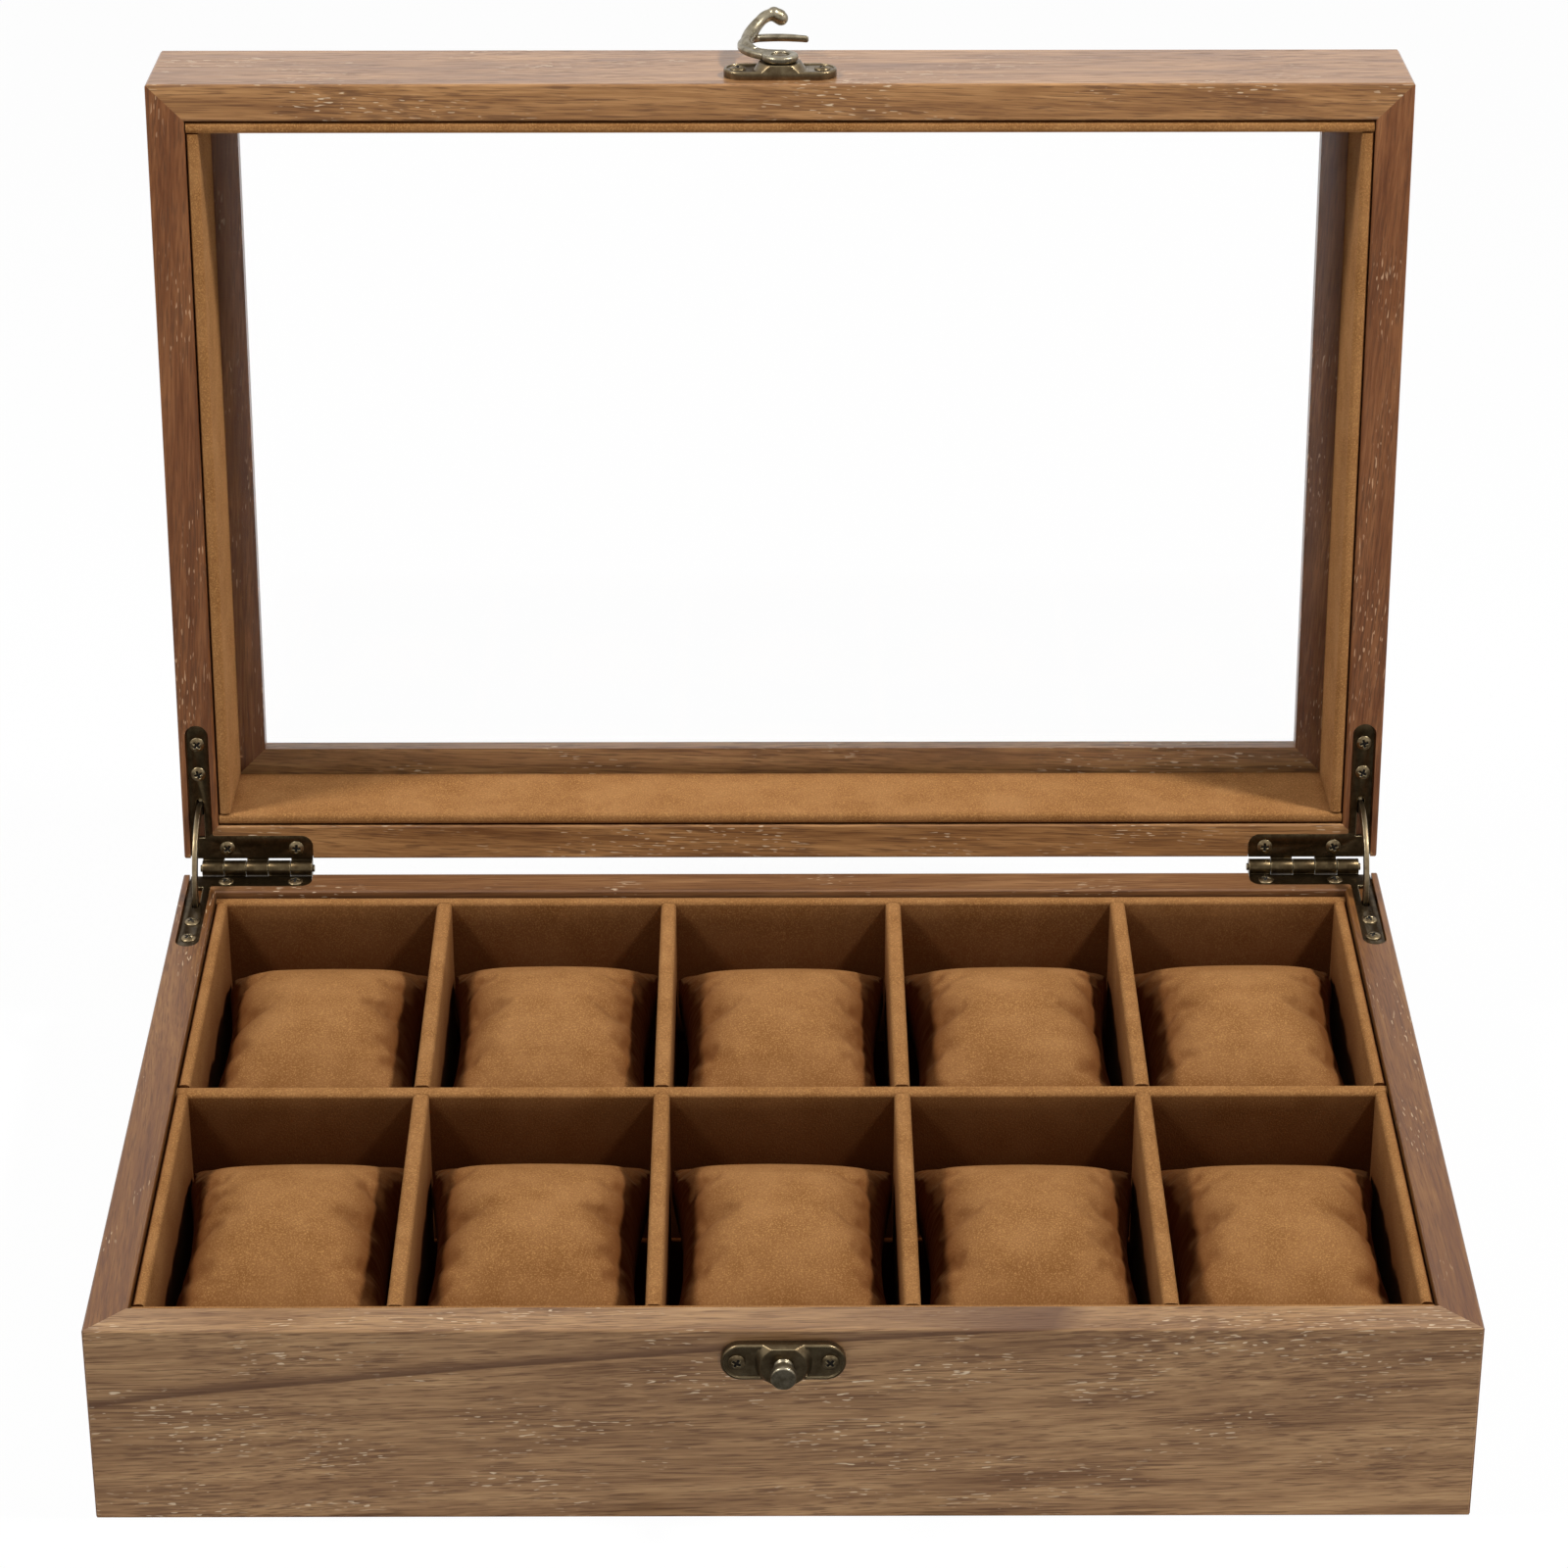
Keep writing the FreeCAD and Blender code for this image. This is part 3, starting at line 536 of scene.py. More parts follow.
@dataclass(frozen=True)
class GatheredSuede(Suede):
    """The same suede on a stuffed pillow, with fine gathers that run in from its two end seams and painted
    shade on its slopes.
    """

    name: str = "tan suede cloth, gathered"
    case_mm: Pair = (74.0, 108.0)
    gather_mm: float = 2.1
    gather_length_mm: float = 24.0
    gather_depth_mm: float = 1.0
    reach_mm: float = 17.0
    seam_at: float = 0.47
    # Colour of the painted shade on the pillow's slopes.
    slope: str = "#693E1D"
    slope_shade_edge: Pair = (0.48, 0.985)

    def colour(self, tree: Tree, where: Socket) -> Socket:
        """Nap colour, which keeps the cloth's colour on the crown and turns to painted shade on the slopes
        that face away from up.

        Args:
            tree: node tree to add to.
            where: place on the piece, in metres.

        Returns:
            Colour socket.
        """
        cloth = super().colour(tree, where)
        facing = add_node(tree, "SeparateXYZ", (add_node(tree, "TexCoord").outputs["Normal"],))
        # Painted shade: the more the surface turns from facing up, the more it takes the slope colour.
        crown = add_node(tree, "MapRange", (facing.outputs[2], *self.slope_shade_edge)).outputs[0]
        return add_node(tree, "Mix", {0: crown, 6: linear(self.slope), 7: cloth},
                        data_type="RGBA").outputs[2]

    def bump(self, tree: Tree, where: Socket) -> Socket:
        """Nap with gathers over it, which follow the flat cloth's own map.

        Args:
            tree: node tree to add to.
            where: place on the piece, in metres.

        Returns:
            Normal socket.
        """
        nap = super().bump(tree, where)
        flat = add_node(tree, "UVMap", uv_map="cloth").outputs[0]
        spots = add_node(tree, "SeparateXYZ", (flat,))
        wide, long = self.case_mm
        beside = add_node(tree, "Math", (spots.outputs[0], 0.5), operation="SUBTRACT").outputs[0]
        off_middle = add_node(tree, "Math", (beside,), operation="ABSOLUTE").outputs[0]
        near_seam = add_node(tree, "MapRange", (off_middle, 0.5 - self.reach_mm / wide, self.seam_at),
                             interpolation_type="SMOOTHSTEP").outputs[0]
        stretch = (wide / self.gather_length_mm, long / self.gather_mm, 1.0)
        folds = add_node(tree, "VectorMath", (flat, stretch), operation="MULTIPLY").outputs[0]
        crease = add_node(tree, "TexNoise", {"Vector": folds, "Scale": 1.0, "Detail": 1.0,
                                             "Distortion": 0.3})
        depth = add_node(tree, "Math", (crease.outputs[0], near_seam), operation="MULTIPLY").outputs[0]
        return add_node(tree, "Bump", {"Height": depth, "Strength": 0.8, "Normal": nap,
                                       "Distance": self.gather_depth_mm * MM}).outputs[0]


@dataclass(frozen=True)
class AntiqueBronze(Finish):
    """Brass plate darkened in a bath and then tumbled: dark brown hollows, pale worn edges, soft gloss."""

    name: str = "antique bronze, darkened and tumbled"
    dark: str = "#4E412E"
    rubbed: str = "#7A6B52"
    worn: str = "#BCAA84"
    dirt: str = "#0D0A06"
    edge_mm: float = 0.35
    hollow_mm: float = 1.6
    patina_mm: float = 2.4
    relief_mm: float = 0.2
    rubbing: float = 0.35
    rubbed_edge: Pair = (0.35, 0.70)
    rounding: Pair = (0.985, 0.86)
    bare_edge: Pair = (0.62, 0.92)
    dirt_edge: Pair = (0.25, 0.8)
    least_clean: float = 0.3
    gloss_edge: Pair = (0.3, 0.7)
    roughness: Pair = (0.40, 0.26)

    def surface(self, tree: Tree, where: Socket) -> Socket:
        """Draws the metal, with wear along its edges and dirt in its hollows.

        Args:
            tree: node tree to add to.
            where: place on the piece, in metres.

        Returns:
            The shader's socket.
        """
        patina = add_node(tree, "TexNoise", {"Vector": where, "Scale": 1 / (self.patina_mm * MM),
                                             "Detail": 4.0, "Roughness": 0.65}).outputs[0]
        rubbed = add_node(tree, "MapRange", (patina, *self.rubbed_edge, 0.0, self.rubbing * 2)).outputs[0]
        plate = add_node(tree, "Mix", {0: rubbed, 6: linear(self.dark), 7: linear(self.rubbed)},
                         data_type="RGBA").outputs[2]
        rounded = add_node(tree, "Bevel", {"Radius": self.edge_mm * MM}, samples=6).outputs[0]
        true_normal = add_node(tree, "NewGeometry").outputs["Normal"]
        facing = add_node(tree, "VectorMath", (rounded, true_normal), operation="DOT_PRODUCT")
        edge = add_node(tree, "MapRange", (facing.outputs["Value"], *self.rounding)).outputs[0]
        hollow = add_node(tree, "AmbientOcclusion", {"Distance": self.hollow_mm * MM}, samples=8,
                          only_local=True).outputs["AO"]
        bare = add_node(tree, "MapRange", (hollow, *self.bare_edge)).outputs[0]
        wear = add_node(tree, "Math", (edge, bare), operation="MULTIPLY").outputs[0]
        edged = add_node(tree, "Mix", {0: wear, 6: plate, 7: linear(self.worn)}, data_type="RGBA")
        clean = add_node(tree, "MapRange", (hollow, *self.dirt_edge, self.least_clean, 1.0)).outputs[0]
        colour = add_node(tree, "Mix", {0: clean, 6: linear(self.dirt), 7: edged.outputs[2]},
                          data_type="RGBA").outputs[2]
        rough = add_node(tree, "MapRange", (patina, *self.gloss_edge, *self.roughness)).outputs[0]
        grain = add_node(tree, "Bump", {"Height": patina, "Strength": 0.15, "Distance": self.relief_mm * MM,
                                        "Normal": rounded}).outputs[0]
        return add_node(tree, "BsdfPrincipled", {"Base Color": colour, "Metallic": 1.0, "Roughness": rough,
                                                 "Normal": grain}).outputs[0]


@dataclass(frozen=True)
class PaintedRecessShade(Finish):
    """Painted shade in the cross recess of a screw: near black, dull, and a little uneven."""

    name: str = "polish residue"
    # Here the near-black colour is painted shade in the screw's recess.
    dirt: str = "#0B0806"
    dust: str = "#1E1710"
    blotch_mm: float = 0.3

    def surface(self, tree: Tree, where: Socket) -> Socket:
        """Draws the painted shade.

        Args:
            tree: node tree to add to.
            where: place on the piece, in metres.

        Returns:
            The shader's socket.
        """
        blotch = add_node(tree, "TexNoise", {"Vector": where, "Scale": 1 / (self.blotch_mm * MM),
                                           "Detail": 2.0})
        colour = add_node(tree, "Mix", {0: blotch.outputs[0], 6: linear(self.dirt), 7: linear(self.dust)},
                          data_type="RGBA").outputs[2]
        return add_node(tree, "BsdfPrincipled", {"Base Color": colour, "Roughness": 0.85}).outputs[0]


@dataclass(frozen=True)
class FloatGlass(Finish):
    """Clear float glass: smooth, faintly wavy, with only its reflections to see.

    Its IOR is below real glass's 1.52, because the photographed pane mirrors hardly anything.
    """

    name: str = "clear float glass"
    tint: str = "#FFFFFF"
    ior: float = 1.2
    ripple_mm: float = 60.0
    relief_mm: float = 0.2

    def surface(self, tree: Tree, where: Socket) -> Socket:
        """Draws the glass.

        Args:
            tree: node tree to add to.
            where: place on the pane, in metres.

        Returns:
            The shader's socket.
        """
        ripple = add_node(tree, "TexNoise", {"Vector": where, "Scale": 1 / (self.ripple_mm * MM),
                                             "Detail": 1.0})
        bump = add_node(tree, "Bump", {"Height": ripple.outputs[0], "Strength": 0.02,
                                       "Distance": self.relief_mm * MM}).outputs[0]
        return add_node(tree, "BsdfPrincipled", {
            "Base Color": linear(self.tint), "Roughness": 0.0, "IOR": self.ior, "Transmission Weight": 1.0,
            "Normal": bump}).outputs[0]


@dataclass(frozen=True)
class PressedFibre(Finish):
    """Pressed fibres, as in fibre board or felt: matted strands in two close browns."""

    name: str
    dark: str
    light: str
    strand_mm: float
    relief_mm: float = 0.2
    roughness: float = 0.95

    def surface(self, tree: Tree, where: Socket) -> Socket:
        """Draws the fibres.

        Args:
            tree: node tree to add to.
            where: place on the piece, in metres.

        Returns:
            The shader's socket.
        """
        strands = add_node(tree, "TexNoise", {"Vector": where, "Scale": 1 / (self.strand_mm * MM),
                                              "Detail": 4.0, "Distortion": 1.2}).outputs[0]
        colour = add_node(tree, "Mix", {0: strands, 6: linear(self.dark), 7: linear(self.light)},
                          data_type="RGBA").outputs[2]
        bump = add_node(tree, "Bump", {"Height": strands, "Strength": 0.5,
                                       "Distance": self.relief_mm * MM}).outputs[0]
        return add_node(tree, "BsdfPrincipled", {"Base Color": colour, "Roughness": self.roughness,
                                                 "Specular IOR Level": 0.2, "Normal": bump}).outputs[0]


# Woodwork, lining and glass


@dataclass
class Casework:
    """Veneered walls and rails, the bottom of the base and the glass, which are CAD nodes."""

    front: WalnutVeneer = WalnutVeneer(Grain.BASE_LENGTHWAYS, figured=True, slope=0.04)
    back: WalnutVeneer = WalnutVeneer(
        Grain.BASE_LENGTHWAYS, pale="#8A6442", middle="#734E30", deep="#5A3A22", slope=0.02)
    # The base's side boards have darker colours as painted shade, for the side lamps' light that their
    # crossways grain turns away.
    sides: WalnutVeneer = WalnutVeneer(
        Grain.BASE_CROSSWAYS, pale="#82592F", middle="#6C4420", deep="#542F16", fleck="#C9AE8C")
    lid_front: WalnutVeneer = WalnutVeneer(
        Grain.LID_LENGTHWAYS, pale="#AE8255", middle="#8F663F", deep="#6B472B", slope=0.03)
    lid_back: WalnutVeneer = WalnutVeneer(
        Grain.LID_LENGTHWAYS, pale="#AB7F51", middle="#8E653E", deep="#6B4628", slope=0.03)
    # The lid's side rails have darker colours as painted shade, for the side lamps' light that their
    # crossways grain turns away.
    lid_sides: WalnutVeneer = WalnutVeneer(
        Grain.LID_CROSSWAYS, pale="#8B5C38", middle="#724628", deep="#57311A", fleck="#C9A480")
    board: PressedFibre = PressedFibre("fibre board", "#4A3423", "#6B4E36", 1.5)
    felt: PressedFibre = PressedFibre("brown wool felt", "#2A1C12", "#46301F", 0.8)
    glass: FloatGlass = FloatGlass()

    def build(self) -> None:
        """Dresses every wooden node, the bottom and the glass."""
        darker_lid_side_material = self.lid_sides.material()
        darker_base_side_material = self.sides.material()
        finishes = {
            "front_wall": self.front.material(),
            "back_wall": self.back.material(),
            "left_wall": darker_base_side_material,
            "right_wall": darker_base_side_material,
            "lid_front_rail": self.lid_front.material(),
            "lid_back_rail": self.lid_back.material(),
            "lid_left_rail": darker_lid_side_material,
            "lid_right_rail": darker_lid_side_material,
            "bottom_panel": self.board.material(),
            "base_felt": self.felt.material(),
            "glass_pane": self.glass.material(),
        }
        for node, material in finishes.items():
            dress(frame["nodes"][node], material)
            log.info("%s is dressed in %s", node, material.name)


@dataclass
class Lining:
    """Suede boards, dividers and floor lining, which are CAD nodes."""

    cloth: Suede = Suede()
    # The lid's suede gets its painted nook shade over a shorter reach.
    lid_cloth: Suede = Suede(name="tan suede cloth, lid", painted_shade_reach_mm=5.0)
    words: Tuple[str, str] = ("lining", "divider")

    def build(self) -> None:
        """Dresses every lining and divider."""
        base = self.cloth.material()
        lid = self.lid_cloth.material()
        nodes = [node for node in frame["nodes"] if any(word in node for word in self.words)]
        for node in nodes:
            dress(frame["nodes"][node], lid if node.startswith("lid") else base)
        log.info("%d lining pieces are dressed in suede", len(nodes))


# Hardware


@dataclass(frozen=True)
class CrossHeadScrew:
    """Raised-head screw with a cross recess, as fastens every leaf and plate.

    The dome is built in rings, which go in by a share of the radius and up by a share of the dome.
    """

    radius: float = 2.1 * MM
    rim: float = 0.22 * MM
    crown: float = 0.75 * MM
    sunk: float = 0.3 * MM
    dome: Tuple[Pair, ...] = ((0.16, 0.34), (0.22, 0.34), (0.24, 0.22), (0.22, 0.10))
    facing_up: float = 0.9
    recess_reach: float = 1.4 * MM
    recess_width: float = 0.85 * MM
    recess_depth: float = 0.7 * MM
    recess_taper: float = 0.72
    painted_shade_level: float = 0.7
    soften: float = 0.07 * MM
    crease: float = math.radians(35)
    segments: int = 40
    seed: int = 11
    metal: AntiqueBronze = AntiqueBronze(
        name="antique bronze screw", dark="#5A4B35", rubbed="#958466", rubbing=0.5)
    dirt: PaintedRecessShade = PaintedRecessShade()

    def head(self) -> Piece:
        """Models one head that faces up at the origin, with its recess cut.

        Returns:
            The head, whose second material is the painted shade in the recess.
        """
        bpy.ops.object.select_all(action="DESELECT")
        bpy.ops.mesh.primitive_cylinder_add(vertices=self.segments, radius=self.radius,
                                            depth=self.rim + self.sunk,
                                            location=(0, 0, (self.rim - self.sunk) / 2))
        head = bpy.context.object
        bpy.ops.object.transform_apply(location=True)
        bpy.ops.object.mode_set(mode="EDIT")
        bpy.ops.mesh.select_mode(type="FACE")
        bpy.ops.mesh.select_all(action="DESELECT")
        bpy.ops.object.mode_set(mode="OBJECT")
        for face in head.data.polygons:
            face.select = face.normal.z > self.facing_up
        bpy.ops.object.mode_set(mode="EDIT")
        for inset, lift in self.dome:
            bpy.ops.mesh.inset(thickness=inset * self.radius)
            bpy.ops.transform.translate(value=(0, 0, lift * (self.crown - self.rim)))
        bpy.ops.object.mode_set(mode="OBJECT")
        for turn in (0, math.pi / 2):
            self.cut_slot(head, turn)
        soften_edges(head, self.soften, self.crease)
        dress(head, self.metal.material(), self.dirt.material())
        # Painted shade: the faces low in the cross recess take the near-black second material.
        for face in head.data.polygons:
            low = face.center.z < self.painted_shade_level * self.crown
            face.material_index = 1 if low and face.center.xy.length < self.recess_reach else 0
        return head

    def cut_slot(self, head: Piece, turn: float) -> None:
        """Cuts one arm of the cross, which narrows as it goes down.

        Args:
            head: screw head to cut.
            turn: turn of the arm round the head's axis.
        """
        bpy.ops.object.select_all(action="DESELECT")
        bpy.ops.mesh.primitive_cube_add(size=1, location=(0, 0, self.crown), rotation=(0, 0, turn))
        cutter = bpy.context.object
        cutter.scale = (2 * self.recess_reach, self.recess_width, 2 * self.recess_depth)
        bpy.ops.object.transform_apply(location=True, rotation=True, scale=True)
        for vertex in cutter.data.vertices:
            if vertex.co.z < self.crown:
                vertex.co.xy *= self.recess_taper
        apply_modifier(head, "BOOLEAN", object=cutter, operation="DIFFERENCE", solver="EXACT")
        bpy.data.objects.remove(cutter)

    def places(self, node: str, facing: Vector) -> Iterator[Vector]:
        """Finds where each screw of a CAD group sits.

        Args:
            node: CAD node that holds the group.
            facing: direction that its heads face.

        Yields:
            Middle of each head's seat.
        """
        merged_copy(node, "screw group")
        bpy.ops.mesh.separate(type="LOOSE")
        for part in list(bpy.context.selected_objects):
            points = [vertex.co.copy() for vertex in part.data.vertices]
            middle = sum(points, Vector()) / len(points)
            top = max(point.dot(facing) for point in points)
            yield middle + facing * (top - self.crown - middle.dot(facing))
            bpy.data.objects.remove(part)
        log.info("%s holds its screws in place", node)

    def group(self, model: Piece, node: str, facing: Vector, name: str) -> Piece:
        """Sets a head on each screw of a CAD group, each turned its own way.

        Args:
            model: head to copy.
            node: CAD node that holds the group.
            facing: direction that its heads face.
            name: name of the finished piece.

        Returns:
            All the heads as one piece.
        """
        chance = random.Random("%s %d" % (node, self.seed))
        stand = facing.to_track_quat("Z", "Y").to_matrix().to_4x4()
        heads = []
        for spot in list(self.places(node, facing)):
            mesh = model.data.copy()
            spin = Matrix.Rotation(chance.uniform(0, math.pi / 2), 4, "Z")
            mesh.transform(Matrix.Translation(spot) @ stand @ spin)
            heads.append(linked(name, mesh))
        return join(heads, name)


@dataclass
class EasedHardware:
    """Metal parts that are shown as copies of their CAD nodes with eased edges."""

    soften: float = 0.14 * MM
    crease: float = math.radians(30)

    def eased(self, node: str, body: str, material: Material) -> None:
        """Puts a copy of a CAD node with eased edges in its place.

        Args:
            node: CAD node to copy.
            body: CAD body that the copy moves with.
            material: finish of the copy.
        """
        piece = merged_copy(node, node + "_eased")
        soften_edges(piece, self.soften, self.crease)
        dress(piece, material)
        place(piece, body, "antique_bronze", node)


@dataclass
class QuadrantHinges(EasedHardware):
    """Two L-shaped leaves a side with their knuckles, pins and curved stays."""

    metal: AntiqueBronze = AntiqueBronze()
    dark_metal: AntiqueBronze = AntiqueBronze(
        name="antique bronze, dark patina", dark="#3A2E1E", rubbed="#665840")
    slid_metal: AntiqueBronze = AntiqueBronze(
        name="antique bronze, polished by sliding", dark="#6A5B44", rubbed="#96866A", worn="#D3C6A8")

    def build(self) -> None:
        """Models and dresses the hinges."""
        light = self.metal.material()
        dark = self.dark_metal.material()
        slid = self.slid_metal.material()
        for side in ("left", "right"):
            self.eased("base_leaf_" + side, "base", dark)
            self.eased("lid_leaf_" + side, "lid", dark)
            self.eased("stay_" + side, "stay_" + side, slid)
            dress(frame["nodes"]["hinge_pin_" + side], light)


@dataclass
class SwingClasp(EasedHardware):
    """Two stamped plates, the peg, the rivet and the cast hook with its horn.

    Each station of the horn has its place to the right of the rivet, away from it and out from the arm's
    level, and its radius, all in millimetres.
    """

    metal: AntiqueBronze = AntiqueBronze(
        name="antique bronze, rubbed by hands", dark="#6F6552", rubbed="#A89E88", worn="#D3C6A8",
        rubbing=0.5)
    plate_metal: AntiqueBronze = AntiqueBronze(
        name="antique bronze, stamped", dark="#5C4D38", rubbed="#8A7B5F")
    soften: float = 0.16 * MM
    voxel: float = 0.16 * MM
    smoothing: int = 8
    smooth_factor: float = 0.5
    arm_level_mm: float = 5.05
    horn_mm: Tuple[Tuple[float, float, float, float], ...] = (
        (-6.6, 5.4, 0.25, 1.15),
        (-8.9, 9.6, 0.35, 1.45),
        (-9.0, 14.2, 0.75, 1.75),
        (-8.0, 18.2, 1.65, 1.90),
        (-6.6, 20.4, 3.10, 1.75),
        (-4.9, 21.9, 4.70, 1.55),
        (-2.9, 22.8, 5.75, 1.65),
        (-0.9, 23.1, 5.75, 2.10),
        (0.4, 23.0, 4.90, 2.00),
    )
    ring_steps: int = 5
    path_steps: int = 10

    def horn(self) -> Piece:
        """Sweeps the horn from the arm's bend up to the thumb's lobe, as a bar that swells and thins.

        Returns:
            The bar, in place on the open lid.
        """
        bpy.ops.object.select_all(action="DESELECT")
        bpy.ops.curve.primitive_nurbs_path_add()
        bar = bpy.context.object
        curve = bar.data
        curve.splines.clear()
        line = curve.splines.new("NURBS")
        line.points.add(len(self.horn_mm) - 1)
        line.use_endpoint_u = True
        line.order_u = 3
        rivet = Vector(next(joint["pos_m"] for joint in frame["joints"] if joint["name"] == "hook_swing"))
        for point, (right, away, out, radius) in zip(line.points, self.horn_mm):
            step = Vector((right * MM, -(self.arm_level_mm + out) * MM, away * MM))
            point.co = (*(rivet + LID_TURN @ step), 1)
            point.radius = radius * MM
        curve.bevel_depth = 1
        curve.bevel_resolution = self.ring_steps
        curve.use_fill_caps = True
        curve.resolution_u = self.path_steps
        bpy.ops.object.convert(target="MESH")
        return bar

    def cast_hook(self, material: Material) -> None:
        """Runs the hook's arm, claw and horn into one smooth casting.

        Args:
            material: finish of the casting.
        """
        hook = join([merged_copy("swing_hook", "cast_hook"), self.horn()], "cast_hook")
        apply_modifier(hook, "REMESH", mode="VOXEL", voxel_size=self.voxel)
        apply_modifier(hook, "SMOOTH", factor=self.smooth_factor, iterations=self.smoothing)
        use(hook)
        bpy.ops.object.shade_smooth()
        dress(hook, material)
        place(hook, "hook", "antique_bronze", "swing_hook")

    def build(self) -> None:
        """Models and dresses the clasp."""
        stamped = self.plate_metal.material()
        rubbed = self.metal.material()
        self.eased("catch_plate", "base", stamped)
        self.eased("catch_peg", "base", rubbed)
        self.eased("clasp_plate", "lid", stamped)
        self.eased("clasp_rivet", "lid", stamped)
        self.cast_hook(rubbed)


@dataclass
class Fasteners:
    """All the screws, in the four groups that hold the leaves and plates."""

    screw: CrossHeadScrew = CrossHeadScrew()

    def build(self) -> None:
        """Models one head and sets it in the four groups."""
        model = self.screw.head()
        groups = (
            ("base_leaf_screws", "base", UP),
            ("lid_leaf_screws", "lid", LID_TURN @ -UP),
            ("catch_plate_screws", "base", FRONT),
            ("clasp_plate_screws", "lid", LID_TURN @ FRONT),
        )
        for node, body, facing in groups:
            piece = self.screw.group(model, node, facing, node.replace("screws", "cross_heads"))
            place(piece, body, "antique_bronze", node)
        bpy.data.objects.remove(model)


# Pillows


@dataclass
class WatchPillows:
    """Ten suede pillows, each a tube of cloth sewn flat at its left and right ends and stuffed.

    A cloth simulation, ten times enlarged, swells each slack case and folds it at its seams. The width,
    waist and arch are then brought to a pillow's sizes by formula. A few cases are simulated, and each
    pillow is one of them, turned or not, in its own mesh.
    """

    cloth: GatheredSuede = GatheredSuede()
    case: Pair = (74 * MM, 108 * MM)
    slack: Triple = (58 * MM, 92 * MM, 38 * MM)
    draw_in: float = 0.16
    ear: float = 0.05
    ear_power: int = 8
    boxy: float = 0.8
    square: float = 4.2
    unevenness: float = 0.006
    wave_pitch: float = 2.1
    waves: int = 3
    spacing: float = 1.5 * MM
    sewing_gap: float = 1e-5
    enlarge: float = 10.0
    frames: int = 16
    pressure: float = 6.0
    seam_reach: float = 7 * MM
    seam_spread: Pair = (0.7, 1.0)
    seam_slack: float = -0.02
    seam_draw: float = 0.035
    quick_waist: float = 0.15
    size: Triple = (57.4 * MM, 90.5 * MM, 44.6 * MM)
    waist: float = 51.0 * MM
    flare_end: float = 36.0 * MM
    crown: float = 0.75
    fullness: float = 0.6
    least_full: float = 0.2
    ear_limit: float = 45.5 * MM
    ear_squeeze: float = 0.8
    middle_share: float = 0.125
    stations: int = 16
    end_stations: int = 2
    ear_lift: float = 0.6 * MM
    ear_lift_powers: Tuple[int, int] = (6, 4)
    tilt_degrees: float = 1.2
    lean_degrees: float = 1.0
    sink: float = 1.8 * MM
    sink_spread_mm: float = 0.8
    cad_gap: float = 0.3 * MM
    rest_gap: float = 0.25 * MM
    cases: int = 3
    columns: int = 5
    rows: Tuple[str, str] = ("front", "back")
    seed: int = 5

    def loose_case(self, number: int) -> Piece:
        """Sews a slack tube of cloth shut at its left and right ends.

        Args:
            number: which of the cases to sew, each a little different.

        Returns:
            The enlarged case, with a cloth map and a seam group.
        """
        chance = random.Random(self.seed + number)
        half_wide, half_long, half_tall = (side * self.enlarge / 2 for side in self.slack)
        counts = [round(side / self.spacing) for side in self.case]
        bpy.ops.object.select_all(action="DESELECT")
        bpy.ops.mesh.primitive_grid_add(x_subdivisions=counts[0], y_subdivisions=counts[1], size=2)
        case = bpy.context.object
        case.data.uv_layers[0].name = "cloth"
        weights = []
        waves = [chance.uniform(0, 2 * math.pi) for _ in range(self.waves)]
        for vertex in case.data.vertices:
            across, along = vertex.co.x, vertex.co.y
            turn = along * math.pi / 2
            middle = max(0.0, math.cos(turn))
            draw = self.draw_in * middle ** 2 * across ** 2
            ear = 1 + self.ear * abs(across) ** self.ear_power
            pinch = (1 - abs(across) ** self.square) ** 0.5
            sway = sum(math.sin((k + 2) * self.wave_pitch * along + wave) for k, wave in enumerate(waves))
            vertex.co.x = half_wide * across * (1 - draw + self.unevenness * sway * across ** 2 * middle)
            vertex.co.y = half_long * ear * math.sin(turn)
            vertex.co.z = half_tall * pinch * middle ** self.boxy
            inset = (1 - abs(across)) * self.case[0] / 2
            weights.append(max(0.0, 1 - inset / self.seam_reach))
        bpy.ops.object.mode_set(mode="EDIT")
        bpy.ops.mesh.select_all(action="SELECT")
        bpy.ops.mesh.duplicate()
        bpy.ops.transform.resize(value=(1, 1, -1), center_override=(0, 0, 0))
        bpy.ops.mesh.flip_normals()
        bpy.ops.object.mode_set(mode="OBJECT")
        seam = case.vertex_groups.new(name="seam")
        for index, weight in enumerate(weights + weights):
            seam.add([index], weight * chance.uniform(*self.seam_spread), "REPLACE")
        bpy.ops.object.mode_set(mode="EDIT")
        bpy.ops.mesh.select_all(action="SELECT")
        bpy.ops.mesh.remove_doubles(threshold=self.sewing_gap)
        bpy.ops.object.mode_set(mode="OBJECT")
        return case

    def swell(self, case: Piece) -> None:
        """Stuffs a case by cloth simulation and keeps the result as its mesh.

        Args:
            case: enlarged case to stuff.
        """
        use(case)
        cloth = case.modifiers.new("Stuffing", "CLOTH")
        settings = {
            "quality": 6,
            "mass": 0.25,
            "tension_stiffness": 30,
            "compression_stiffness": 30,
            "shear_stiffness": 12,
            "bending_stiffness": 0.08,
            "air_damping": 3,
            "use_pressure": True,
            "uniform_pressure_force": self.pressure,
            "vertex_group_shrink": "seam",
            "shrink_min": self.seam_slack,
            "shrink_max": self.seam_draw,
        }
        for name, value in settings.items():
            setattr(cloth.settings, name, value)
        cloth.settings.effector_weights.gravity = 0
        cloth.point_cache.frame_start = 1
        cloth.point_cache.frame_end = self.frames
        scene = bpy.context.scene
        for number in range(1, self.frames + 1):
            scene.frame_set(number)
        bpy.ops.object.modifier_apply(modifier=cloth.name)
        scene.frame_set(1)

